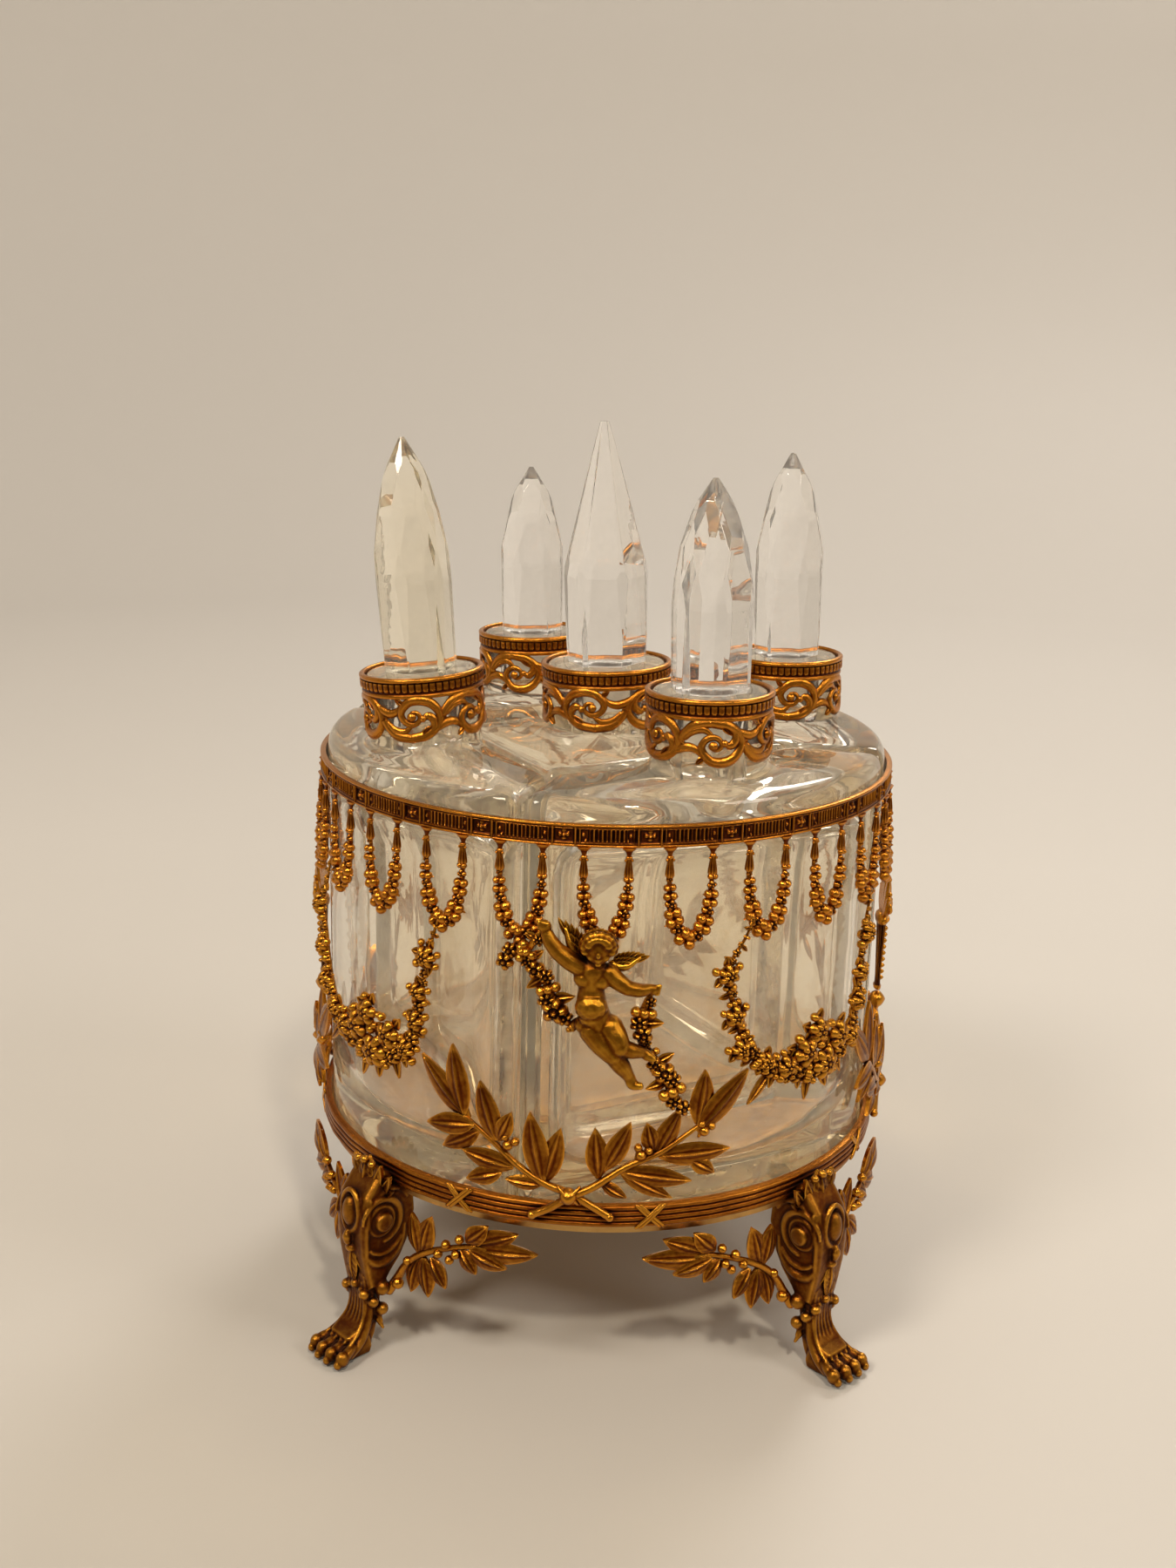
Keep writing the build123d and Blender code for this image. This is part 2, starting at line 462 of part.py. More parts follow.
# ================================================================ the bottles
def polar(r, a):
    return (r * math.cos(math.radians(a)), r * math.sin(math.radians(a)))


for bname, b in bottles.items():
    axis_xy = polar(*b["neck"])
    lean = math.radians(b["lean"])
    z_dir = (math.sin(lean), 0, math.cos(lean))
    collar_z = b["rim_z"] - collar_h * math.cos(lean)
    # frame of the neck: origin in the middle of the collar's lower edge
    neck_plane = Plane(origin=(axis_xy[0], axis_xy[1], collar_z), x_dir=(math.cos(lean), 0, -math.sin(lean)), z_dir=z_dir)
    lip_h = collar_h - lip_drop
    collar_out = b["collar"]
    collar_in = collar_out - collar_wall
    frieze_out = collar_out - frieze_under
    neck_r = collar_out - neck_under

    def outline(inset):
        if b["mid"] is None:
            h = centre_half - inset
            return None, h
        half = centre_half + bottle_gap + inset
        g = (bottle_gap / 2 + inset) * math.sqrt(2)
        return (half, g), glass_r - inset

    with BuildPart() as bottle:
        if b["mid"] is None:
            with BuildSketch(Plane(origin=(0, 0, glass_z0), x_dir=polar(1, 30) + (0,), z_dir=(0, 0, 1))):
                RectangleRounded(2 * centre_half, 2 * centre_half, 2.0)
            extrude(amount=glass_top_z - glass_z0)
            chamfer(bottle.faces().sort_by(Axis.Z)[-1].edges(), length=1.6)
        else:
            seg_plane = Plane(origin=(0, 0, glass_z0), x_dir=polar(1, b["mid"]) + (0,), z_dir=(0, 0, 1))
            with BuildSketch(seg_plane) as seg:
                (hx, g), rr = outline(0.0)
                # chord side, two radial sides and the outer arc;
                # a corner lies where the radial side x - y = g meets the arc
                yc = hx - g
                cx = (g + math.sqrt(2 * rr * rr - g * g)) / 2
                cy = cx - g
                with BuildLine():
                    Line((hx, -yc), (hx, yc))
                    Line((hx, yc), (cx, cy))
                    ThreePointArc((cx, cy), (rr, 0), (cx, -cy))
                    Line((cx, -cy), (hx, -yc))
                make_face()
                fillet(seg.vertices(), 2.6)
            extrude(amount=glass_top_z - glass_z0)
            top_edges = bottle.faces().sort_by(Axis.Z)[-1].edges()
            chamfer(top_edges, length=2.0)
        # flare and straight neck
        with BuildSketch(neck_plane.offset(-7.5)):
            Circle(neck_r)
        extrude(amount=7.5 + lip_h)
        with BuildSketch(neck_plane.offset(-4.0)):
            Circle(neck_r + 1.1)
        with BuildSketch(neck_plane.offset(-0.25)):
            Circle(neck_r)
        loft()
        # hollow body
        if b["mid"] is None:
            with BuildSketch(Plane(origin=(0, 0, glass_z0 + glass_floor), x_dir=polar(1, 30) + (0,), z_dir=(0, 0, 1))):
                RectangleRounded(2 * (centre_half - glass_wall), 2 * (centre_half - glass_wall), 3.0)
            extrude(amount=cavity_top_z - glass_z0 - glass_floor, mode=Mode.SUBTRACT)
        else:
            with BuildSketch(Plane(origin=(0, 0, glass_z0 + glass_floor), x_dir=polar(1, b["mid"]) + (0,), z_dir=(0, 0, 1))) as cav:
                (hx, g), rr = outline(glass_wall)
                yc = hx - g
                cx = (g + math.sqrt(2 * rr * rr - g * g)) / 2
                cy = cx - g
                with BuildLine():
                    Line((hx, -yc), (hx, yc))
                    Line((hx, yc), (cx, cy))
                    ThreePointArc((cx, cy), (rr, 0), (cx, -cy))
                    Line((cx, -cy), (hx, -yc))
                make_face()
                fillet(cav.vertices(), 2.5)
            extrude(amount=cavity_top_z - glass_z0 - glass_floor, mode=Mode.SUBTRACT)
        # bore of the neck, down into the hollow
        with BuildSketch(neck_plane.offset(lip_h)):
            Circle(bore_r)
        extrude(amount=-(lip_h + collar_z - cavity_top_z + 1.5), mode=Mode.SUBTRACT)
    save(bottle.part, "bottle_" + bname)

    # Collar: polished rim and gadrooned band over a pierced, scalloped frieze.
    scroll = 5 if b["mid"] is not None else 6
    with BuildPart() as collar:
        with BuildSketch(Plane.XZ):
            patch([(collar_in, 0.25), (frieze_out, 0.25), (frieze_out, collar_h - collar_rim_h),
                       (collar_out, collar_h - collar_rim_h + 0.5), (collar_out, collar_h - 0.6),
                       (collar_out - 0.4, collar_h), (collar_in, collar_h)])
        revolve(axis=Axis.Z)
        # pierced openings
        for k in range(2 * scroll):
            a = (k + 0.5) * 180.0 / scroll
            with BuildSketch(Plane(origin=(0, 0, 5.4), x_dir=(-math.sin(math.radians(a)), math.cos(math.radians(a)), 0),
                                   z_dir=(math.cos(math.radians(a)), math.sin(math.radians(a)), 0))):
                if k % 2:
                    Circle(1.75)
                else:
                    Ellipse(1.5, 2.5)
            extrude(amount=20, mode=Mode.SUBTRACT)
        # scalloped lower edge
        for k in range(scroll):
            a = (2 * k + 0.0) * 180.0 / scroll
            with BuildSketch(Plane(origin=(0, 0, -0.6), x_dir=(-math.sin(math.radians(a)), math.cos(math.radians(a)), 0),
                                   z_dir=(math.cos(math.radians(a)), math.sin(math.radians(a)), 0))):
                Ellipse(2.3, 2.6)
            extrude(amount=20, mode=Mode.SUBTRACT)
    with BuildPart() as collar_placed:
        add(collar.part.moved(neck_plane.location))
    save(collar_placed.part, "collar_" + bname)

    # Stopper: ground plug under a solid cut head.
    rows = ([(0.0, b["w0"]), (0.37, b["w1"]), (0.48, b["w1"] * 0.88), (1.0, 1.6)] if b["mid"] is None else
            [(0.0, b["w0"]), (0.40, b["w1"]), (0.56, b["w1"] * 0.92), (0.70, b["w1"] * 0.76), (0.86, b["w1"] * 0.48), (1.0, 1.4)])
    stop_plane = neck_plane.offset(lip_h)
    ct, st = math.cos(math.radians(b["turn"])), math.sin(math.radians(b["turn"]))
    turned = Plane(origin=stop_plane.origin, x_dir=stop_plane.x_dir * ct + stop_plane.y_dir * st, z_dir=stop_plane.z_dir)
    with BuildPart() as stopper:
        for pair in zip(rows[:-1], rows[1:]):
            for f, w in pair:
                cut = w * 0.24
                with BuildSketch(turned.offset(f * b["stop_h"])):
                    h = w / 2
                    patch([(h, -h + cut), (h, h - cut), (h - cut, h), (-h + cut, h), (-h, h - cut), (-h, -h + cut), (-h + cut, -h), (h - cut, -h)])
            loft(ruled=True)
        with BuildSketch(stop_plane):
            Circle(plug_r)
        extrude(amount=-plug_len)
    save(stopper.part, "stopper_" + bname)
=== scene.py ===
import bpy
import bmesh
import itertools
import math
import random
import numpy as np
from mathutils import Matrix, Vector


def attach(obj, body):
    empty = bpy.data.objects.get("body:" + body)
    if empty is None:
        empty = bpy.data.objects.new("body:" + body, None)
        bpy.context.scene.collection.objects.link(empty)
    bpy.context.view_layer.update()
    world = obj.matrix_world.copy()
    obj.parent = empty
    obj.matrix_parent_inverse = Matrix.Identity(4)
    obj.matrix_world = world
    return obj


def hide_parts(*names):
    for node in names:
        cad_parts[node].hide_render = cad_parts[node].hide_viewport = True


# A round gilt bronze stand on lion-paw legs with five cut glass scent bottles.
# Ornament on the cage is drawn flat and then bent round the cage:
# x = length along the cage at radius 64, z = height, R = distance from the axis,
# all in millimetres. Blender objects are in metres.
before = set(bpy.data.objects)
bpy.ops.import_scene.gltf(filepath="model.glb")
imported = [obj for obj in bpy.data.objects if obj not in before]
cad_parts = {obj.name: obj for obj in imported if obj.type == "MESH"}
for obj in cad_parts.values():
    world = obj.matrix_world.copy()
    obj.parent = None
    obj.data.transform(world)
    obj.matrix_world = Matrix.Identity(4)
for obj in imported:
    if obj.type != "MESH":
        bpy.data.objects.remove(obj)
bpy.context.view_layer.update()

MM = 0.001
ARC = 64.0
PANELS = {"front": 0.0, "right": 90.0, "back": 180.0, "left": -90.0}
LEGS = {"front_left": -45.0, "front_right": 45.0, "back_right": 135.0, "back_left": -135.0}
SCENE = bpy.context.scene


def arc_x(azimuth):
    return math.radians(azimuth) * ARC


# ------------------------------------------------------------------ materials
class Nodes:
    def __init__(self, name):
        self.mat = bpy.data.materials.new(name)
        self.mat.use_nodes = True
        self.tree = self.mat.node_tree
        self.tree.nodes.clear()
        self.out = self.add("ShaderNodeOutputMaterial")
        self.coord = self.add("ShaderNodeTexCoord")

    def add(self, kind, **values):
        node = self.tree.nodes.new(kind)
        for key, value in values.items():
            if key in node.inputs:
                node.inputs[key].default_value = value
            else:
                setattr(node, key, value)
        return node

    def link(self, a, b):
        self.tree.links.new(a, b)

    def noise(self, scale, detail=4.0, rough=0.55, distortion=0.0):
        n = self.add("ShaderNodeTexNoise")
        n.inputs["Scale"].default_value = scale
        n.inputs["Detail"].default_value = detail
        n.inputs["Roughness"].default_value = rough
        n.inputs["Distortion"].default_value = distortion
        self.link(self.coord.outputs["Object"], n.inputs["Vector"])
        return n.outputs["Fac"]

    def ramp(self, source, stops):
        r = self.add("ShaderNodeValToRGB")
        while len(r.color_ramp.elements) < len(stops):
            r.color_ramp.elements.new(0.5)
        for e, (pos, col) in zip(r.color_ramp.elements, stops):
            e.position = pos
            e.color = tuple(col) + (1.0,) if len(col) == 3 else col
        self.link(source, r.inputs["Fac"])
        return r.outputs["Color"]

    def span(self, source, a, b, c, d):
        m = self.add("ShaderNodeMapRange")
        m.inputs["From Min"].default_value = a
        m.inputs["From Max"].default_value = b
        m.inputs["To Min"].default_value = c
        m.inputs["To Max"].default_value = d
        self.link(source, m.inputs["Value"])
        return m.outputs["Result"]

    def math(self, op, a, b, clamp=False):
        m = self.add("ShaderNodeMath")
        m.operation = op
        m.use_clamp = clamp
        for i, v in enumerate((a, b)):
            if isinstance(v, (int, float)):
                m.inputs[i].default_value = v
            else:
                self.link(v, m.inputs[i])
        return m.outputs[0]


def gilt_material(name, shadow, body, light, rough_low, rough_high, grain=1.0, patina_and_shade=0.0):
    n = Nodes(name)
    b = n.add("ShaderNodeBsdfPrincipled")
    n.link(b.outputs[0], n.out.inputs[0])
    relief = n.add("ShaderNodeAttribute")
    relief.attribute_name = "relief"
    wide = n.noise(130.0, 3.0)
    fine = n.noise(900.0, 5.0, 0.6)
    # the ambient occlusion below darkens the gilt colour in recesses and between parts: painted shade
    hollow = n.add("ShaderNodeAmbientOcclusion")
    hollow.samples = 4
    hollow.inputs["Distance"].default_value = 0.0022
    shade = n.span(hollow.outputs["AO"], 0.30, 0.95, -0.50, 0.15)
    # this mix is partly real wear and random tone from the noise, partly painted shade from the occlusion and the
    # hollows of the relief attribute, and partly painted highlight on the crests; the last offset darkens the whole mix
    wear_and_shade = n.math("ADD", n.math("MULTIPLY", relief.outputs["Fac"], 1.22), n.math("MULTIPLY", wide, 0.42))
    wear_and_shade = n.math("ADD", wear_and_shade, n.math("MULTIPLY", fine, 0.26))
    wear_and_shade = n.math("ADD", wear_and_shade, shade)
    wear_and_shade = n.math("SUBTRACT", wear_and_shade, 0.58 + patina_and_shade, clamp=True)
    # open smooth surfaces get a floor on the painted shade, so they never stay as dark as the recesses
    wear_and_shade = n.math("MAXIMUM", wear_and_shade, n.span(hollow.outputs["AO"], 0.55, 1.0, 0.0, 0.27))
    # the ramp runs from the shadow colour (dark patina with painted shade) through the bronze body to the light colour
    # (bright gilding with painted highlight)
    colour = n.ramp(wear_and_shade, [(0.05, shadow), (0.42, body), (0.84, light)])
    n.link(colour, b.inputs["Base Color"])
    n.link(n.span(wear_and_shade, 0.0, 0.35, 0.84, 1.0), b.inputs["Metallic"])
    rough = n.math("ADD", n.span(wear_and_shade, 0.0, 0.9, rough_high, rough_low), n.math("MULTIPLY", fine, 0.10))
    n.link(rough, b.inputs["Roughness"])
    pits = n.noise(3400.0, 3.0, 0.6)
    bumps = n.math("ADD", n.math("MULTIPLY", fine, 0.8), n.math("MULTIPLY", pits, 0.45))
    bump = n.add("ShaderNodeBump")
    bump.inputs["Strength"].default_value = 0.36 * grain
    bump.inputs["Distance"].default_value = 0.00026
    n.link(bumps, bump.inputs["Height"])
    n.link(bump.outputs[0], b.inputs["Normal"])
    return n.mat


gilt = gilt_material("gilt_bronze", (0.016, 0.0032, 0.0005), (0.130, 0.027, 0.0024), (0.60, 0.262, 0.025), 0.18, 0.44, 1.2, 0.02)
gilt_torch = gilt_material("gilt_bronze_torch", (0.016, 0.0032, 0.0005), (0.130, 0.027, 0.0024), (0.60, 0.262, 0.025), 0.18, 0.44, 1.2, -0.30)
gilt_leaf = gilt_material("gilt_bronze_leaf", (0.015, 0.003, 0.0005), (0.128, 0.026, 0.0022), (0.62, 0.262, 0.024), 0.15, 0.40, 1.2, 0.06)
gilt_red = gilt_material("gilt_bronze_warm", (0.016, 0.003, 0.0005), (0.130, 0.023, 0.0020), (0.57, 0.218, 0.022), 0.16, 0.42, 1.2, 0.01)
gilt_yellow = gilt_material("gilt_bronze_bright", (0.024, 0.006, 0.0008), (0.175, 0.048, 0.0030), (0.68, 0.340, 0.028), 0.17, 0.42, 1.4, 0.02)
gilt_aged = gilt_material("gilt_bronze_aged", (0.017, 0.0042, 0.0007), (0.115, 0.027, 0.0030), (0.57, 0.258, 0.028), 0.20, 0.50, 1.4, 0.04)


def brass_material(name, dark, light, scale):
    n = Nodes(name)
    b = n.add("ShaderNodeBsdfPrincipled", Metallic=1.0)
    n.link(b.outputs[0], n.out.inputs[0])
    wide = n.noise(60.0, 4.0)
    fine = n.noise(scale, 5.0)
    mix = n.math("ADD", n.math("MULTIPLY", wide, 0.7), n.math("MULTIPLY", fine, 0.3))
    n.link(n.ramp(mix, [(0.30, dark), (0.62, light)]), b.inputs["Base Color"])
    n.link(n.span(fine, 0.3, 0.7, 0.28, 0.48), b.inputs["Roughness"])
    bump = n.add("ShaderNodeBump")
    bump.inputs["Strength"].default_value = 0.2
    bump.inputs["Distance"].default_value = 0.0001
    n.link(fine, bump.inputs["Height"])
    n.link(bump.outputs[0], b.inputs["Normal"])
    return n.mat


plate_brass = brass_material("plate_brass", (0.30, 0.15, 0.045), (0.62, 0.38, 0.13), 500.0)
screw_brass = brass_material("screw_brass", (0.26, 0.15, 0.05), (0.66, 0.45, 0.18), 1800.0)


def glass_material(name, tint, absorb, density, rough=0.0, wave=0.06, wave_scale=55.0, ior=1.52, haze=0.0):
    n = Nodes(name)
    b = n.add("ShaderNodeBsdfPrincipled", IOR=ior)
    b.inputs["Transmission Weight"].default_value = 1.0
    b.inputs["Base Color"].default_value = tuple(tint) + (1.0,)
    wide = n.noise(wave_scale, 2.0, 0.4, 0.6)
    fine = n.noise(420.0, 4.0, 0.6)
    n.link(n.span(fine, 0.45, 0.75, rough, rough + 0.035), b.inputs["Roughness"])
    bump = n.add("ShaderNodeBump")
    bump.inputs["Strength"].default_value = wave
    bump.inputs["Distance"].default_value = 0.002
    n.link(wide, bump.inputs["Height"])
    n.link(bump.outputs[0], b.inputs["Normal"])
    n.link(n.span(fine, 0.35, 0.75, 1.0 - 0.5 * haze, 1.0 - 1.5 * haze), b.inputs["Transmission Weight"])
    clear = n.add("ShaderNodeBsdfTransparent")
    clear.inputs[0].default_value = tuple(0.93 * t for t in tint) + (1.0,)
    path = n.add("ShaderNodeLightPath")
    mix = n.add("ShaderNodeMixShader")
    n.link(path.outputs["Is Shadow Ray"], mix.inputs[0])
    n.link(b.outputs[0], mix.inputs[1])
    n.link(clear.outputs[0], mix.inputs[2])
    n.link(mix.outputs[0], n.out.inputs[0])
    volume = n.add("ShaderNodeVolumeAbsorption")
    volume.inputs["Color"].default_value = tuple(absorb) + (1.0,)
    volume.inputs["Density"].default_value = density
    n.link(volume.outputs[0], n.out.inputs["Volume"])
    return n.mat


bottle_glass = glass_material("bottle_glass", (0.975, 0.96, 0.925), (0.82, 0.69, 0.38), 15.5, 0.0, 0.05, 40.0, 1.44, 0.06)
stopper_glass = glass_material("stopper_glass", (0.985, 0.98, 0.97), (0.84, 0.81, 0.77), 13.0, 0.0, 0.03, 140.0, 1.50, 0.06)
stopper_glass_yellow = glass_material("stopper_glass_yellow", (0.98, 0.955, 0.88), (0.88, 0.78, 0.52), 18.0, 0.0, 0.03, 140.0, 1.50, 0.06)
ground_glass = glass_material("ground_glass", (0.97, 0.96, 0.94), (0.9, 0.88, 0.84), 6.0, 0.32, 0.2, 600.0, 1.5, 0.10)


# ----------------------------------------------------------------- mesh tools
class Shape:
    """Closed surfaces collected into one mesh."""

    def __init__(self):
        self.points, self.faces, self.count = [], [], 0

    def loops(self, rings, closed=False):
        """Rings of points (m, k, 3) joined one to the next; the ends are capped unless closed."""
        rings = np.asarray(rings, float)
        m, k = rings.shape[:2]
        self.points.append(rings.reshape(-1, 3))
        idx = np.arange(m * k).reshape(m, k) + self.count
        last = m if closed else m - 1
        a = idx[np.arange(last)]
        b = idx[(np.arange(last) + 1) % m]
        quads = np.stack([a, np.roll(a, -1, 1), np.roll(b, -1, 1), b], -1).reshape(-1, 4)
        self.faces += quads.tolist()
        if not closed:
            self.faces.append(idx[0][::-1].tolist())
            self.faces.append(idx[-1].tolist())
        self.count += m * k

    def array(self):
        return np.concatenate(self.points)


def curve_through(points, n):
    """Catmull-Rom curve through points, n samples evenly spaced in length."""
    p = np.asarray(points, float)
    if len(p) == 2:
        fine = p[0] + (p[1] - p[0]) * np.linspace(0, 1, n)[:, None]
        return fine
    q = np.vstack([2 * p[0] - p[1], p, 2 * p[-1] - p[-2]])
    out = []
    for i in range(1, len(q) - 2):
        t = np.linspace(0, 1, 14, endpoint=False)[:, None]
        a, b, c, d = q[i - 1], q[i], q[i + 1], q[i + 2]
        out.append(0.5 * (2 * b + (c - a) * t + (2 * a - 5 * b + 4 * c - d) * t ** 2 + (3 * b - a - 3 * c + d) * t ** 3))
    out.append(q[-2][None])
    fine = np.concatenate(out)
    step = np.r_[0, np.cumsum(np.linalg.norm(np.diff(fine, axis=0), axis=1))]
    where = np.linspace(0, step[-1], n)
    return np.stack([np.interp(where, step, fine[:, j]) for j in range(fine.shape[1])], 1)


def tube(s, path, radius, n=None, k=9, flat=1.0, smooth=True, ridge=0.0):
    """A rod with rounded ends along path in (x, z, R). ridge lifts a keel on its outer side."""
    path = np.asarray(path, float)
    length = np.linalg.norm(np.diff(path, axis=0), axis=1).sum()
    radii = np.atleast_1d(np.asarray(radius, float))
    if n is None:
        n = int(max(5, min(90, length / (0.55 * max(radii.mean(), 0.3)))))
    c = curve_through(path, n) if smooth else path
    n = len(c)
    r = np.interp(np.linspace(0, 1, n), np.linspace(0, 1, len(radii)), radii) if len(radii) > 1 else np.full(n, radii[0])
    t = np.gradient(c, axis=0)
    t /= np.linalg.norm(t, axis=1)[:, None] + 1e-12
    up = np.array([0, 0, 1.0])
    side = np.cross(t, up)
    norm = np.linalg.norm(side, axis=1)[:, None]
    side = np.where(norm < 0.05, np.array([1.0, 0, 0]), side / (norm + 1e-12))
    out = np.cross(side, t)
    c = np.vstack([c[0] - t[0] * r[0] * 0.55, c, c[-1] + t[-1] * r[-1] * 0.55])
    side = np.vstack([side[0], side, side[-1]])
    out = np.vstack([out[0], out, out[-1]])
    r = np.r_[r[0] * 0.45, r, r[-1] * 0.45]
    a = np.linspace(0, 2 * math.pi, k, endpoint=False) + 0.3
    lift = flat * np.sin(a) + ridge * np.exp(-((a - math.pi / 2) / 0.35) ** 2)
    rings = c[:, None] + r[:, None, None] * (np.cos(a)[None, :, None] * side[:, None] + lift[None, :, None] * out[:, None])
    s.loops(rings)


def ball(s, x, z, big_r, r, tall=None, deep=None, pip=0.0, n=7, k=12, turn=0.0, tip=None):
    """Berry or boss: an ellipsoid whose outer pole can carry a pip."""
    tall, deep = tall or r, deep or r
    rings = []
    for i in range(n + 1):
        p = math.pi * (0.04 + 0.92 * i / n)
        ca, sa = math.cos(p), math.sin(p)
        bump = pip * math.exp(-(p / 0.34) ** 2)
        a = np.linspace(0, 2 * math.pi, k, endpoint=False) + turn
        rings.append(np.stack([x + r * sa * np.cos(a), z + tall * sa * np.sin(a), np.full(k, big_r + deep * ca + bump)], 1))
    s.loops(rings)


def leaf(s, x0, z0, x1, z1, w, big_r, lift=0.6, thick=0.55, crown=0.55, ns=13, nt=10, cup=0.0, wide_at=0.8, vein=0.10, base=0.12, curl=0.0):
    """A cast leaf: keeled halves, midrib, side veins, closed back."""
    d = np.array([x1 - x0, z1 - z0])
    length = np.linalg.norm(d)
    d /= length
    q = np.array([-d[1], d[0]])
    f = np.linspace(0, 1, ns + 1)
    half = 0.5 * w * np.maximum(np.sin(math.pi * f ** wide_at) ** 0.82, base * (1 - f) + 0.03)
    t = np.linspace(-1, 1, nt + 1)
    rings = []
    for i, u in enumerate(f):
        bend = curl * w * math.sin(math.pi * u) * 0.5
        cx = x0 + d[0] * u * length + q[0] * bend
        cz = z0 + d[1] * u * length + q[1] * bend
        rise = big_r + lift * (u ** 1.6)
        edge = half[i] / (0.5 * w)
        at = np.abs(t)
        top = rise + thick * 0.45 + crown * edge * (0.25 + 0.75 * np.cos(at * math.pi / 2)) + cup * w * edge * at ** 2
        top += 0.22 * edge * np.exp(-(at / 0.13) ** 2) - 0.16 * edge * np.exp(-((at - 0.27) / 0.13) ** 2)
        top += vein * edge * np.sin((u * 8.5 - at * 2.2) * 2 * math.pi * 0.62) * at * (1.2 - at)
        x = cx + q[0] * t * half[i]
        z = cz + q[1] * t * half[i]
        low = rise - thick * 0.55
        tb = t[::-1][1:-1]
        xb = cx + q[0] * tb * half[i] * 0.96
        zb = cz + q[1] * tb * half[i] * 0.96
        rings.append(np.stack([np.r_[x, xb], np.r_[z, zb], np.r_[top, np.full(len(tb), low)]], 1))
    s.loops(rings)


def flower(s, x, z, big_r, r, petals=5, high=0.9, turn=0.0, k=None, cup=0.4):
    """An open flower seen from the front: petals with dished lobes round a button."""
    k = k or petals * 7
    rho = np.array([0.03, 0.12, 0.22, 0.32, 0.45, 0.6, 0.76, 0.9, 1.0])
    a = np.linspace(0, 2 * math.pi, k, endpoint=False)
    lobe = np.abs(np.cos(petals * (a - turn) / 2)) ** 0.75
    rings = []
    for p in rho:
        rad = r * p * (1 - (0.30 * (1 - lobe)) * min(1, p * 1.3))
        hh = high * (0.62 * (1 - p ** 2.4) + 0.46 * math.exp(-(p / 0.17) ** 2) - 0.24 * math.exp(-((p - 0.30) / 0.08) ** 2))
        hh = hh + high * 0.5 * lobe * math.sin(math.pi * min(1, p) ** 1.5) * cup - high * 0.30 * (1 - lobe) * min(1, p * 1.6)
        rings.append(np.stack([x + rad * np.cos(a), z + rad * np.sin(a), big_r + hh], 1))
    rim = r * (1 - 0.30 * (1 - lobe))
    rings.append(np.stack([x + rim * 0.97 * np.cos(a), z + rim * 0.97 * np.sin(a), np.full(k, big_r - 0.45 * high)], 1))
    rings.append(np.stack([x + rim * 0.5 * np.cos(a), z + rim * 0.5 * np.sin(a), np.full(k, big_r - 0.7 * high)], 1))
    s.loops(rings)


def turned(s, x, big_r, rows, k=24, flutes=0, depth=0.0, flat=1.0):
    """Lathe about a vertical line: rows of (z, radius, flute share)."""
    a = np.linspace(0, 2 * math.pi, k, endpoint=False)
    rings = []
    for row in rows:
        z, r = row[0], row[1]
        f = row[2] if len(row) > 2 else 0.0
        rr = r * (1 - depth * f * (0.5 + 0.5 * np.cos(flutes * a))) if flutes else np.full(k, r)
        rings.append(np.stack([x + rr * np.cos(a), np.full(k, z), big_r + flat * rr * np.sin(a)], 1))
    s.loops(rings)


def bent(points, azimuth=0.0):
    """Flat (x, z, R) to the cage, in metres."""
    a = math.radians(azimuth) + points[:, 0] / ARC
    return np.stack([points[:, 2] * np.sin(a), -points[:, 2] * np.cos(a), points[:, 1]], 1) * MM


def straight(points):
    """Flat (x, z, R) without bending, in metres."""
    return np.stack([points[:, 0], -points[:, 2], points[:, 1]], 1) * MM


def mesh_from(name, points, faces, materials, angle=40.0, relief=1.0, passes=2):
    me = bpy.data.meshes.new(name)
    me.from_pydata(np.asarray(points).tolist(), [], faces)
    bm = bmesh.new()
    bm.from_mesh(me)
    bmesh.ops.remove_doubles(bm, verts=bm.verts, dist=1e-7)
    bmesh.ops.recalc_face_normals(bm, faces=bm.faces)
    bm.to_mesh(me)
    bm.free()
    for m in materials:
        me.materials.append(m)
    me.polygons.foreach_set("use_smooth", np.ones(len(me.polygons), bool))
    if angle < 179:
        me.set_sharp_from_angle(angle=math.radians(angle))
    if relief:
        add_relief(me, relief, passes)
    me.update()
    return me


def add_relief(me, k, passes):
    """Stores how far each point stands proud of its neighbours, 0 in hollows to 1 on crests."""
    n = len(me.vertices)
    co = np.empty(n * 3)
    me.vertices.foreach_get("co", co)
    co = co.reshape(-1, 3)
    no = np.empty(n * 3)
    me.vertex_normals.foreach_get("vector", no)
    no = no.reshape(-1, 3)
    e = np.empty(len(me.edges) * 2, int)
    me.edges.foreach_get("vertices", e)
    e = e.reshape(-1, 2)
    count = np.bincount(e.ravel(), minlength=n) + 1e-9

    def around(values):
        return (np.bincount(e[:, 0], values[e[:, 1]], n) + np.bincount(e[:, 1], values[e[:, 0]], n)) / count

    lap = np.stack([around(co[:, j]) for j in range(3)], 1) - co
    size = np.linalg.norm(co[e[:, 0]] - co[e[:, 1]], axis=1)
    size = (np.bincount(e[:, 0], size, n) + np.bincount(e[:, 1], size, n)) / count
    c = -(lap * no).sum(1) / (size + 1e-12)
    for _ in range(passes):
        c = 0.5 * c + 0.5 * around(c)
    value = np.clip(0.5 + 2.2 * k * c, 0, 1)
    attribute = me.attributes.new("relief", "FLOAT", "POINT")
    attribute.data.foreach_set("value", value.astype(np.float32))


def place(name, me, body, nodes, turn=0.0):
    if turn:
        me = me.copy()
        me.transform(Matrix.Rotation(math.radians(turn), 4, "Z"))
    o = bpy.data.objects.new(name, me)
    SCENE.collection.objects.link(o)
    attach(o, body)
    if nodes:
        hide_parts(*nodes)
    return o


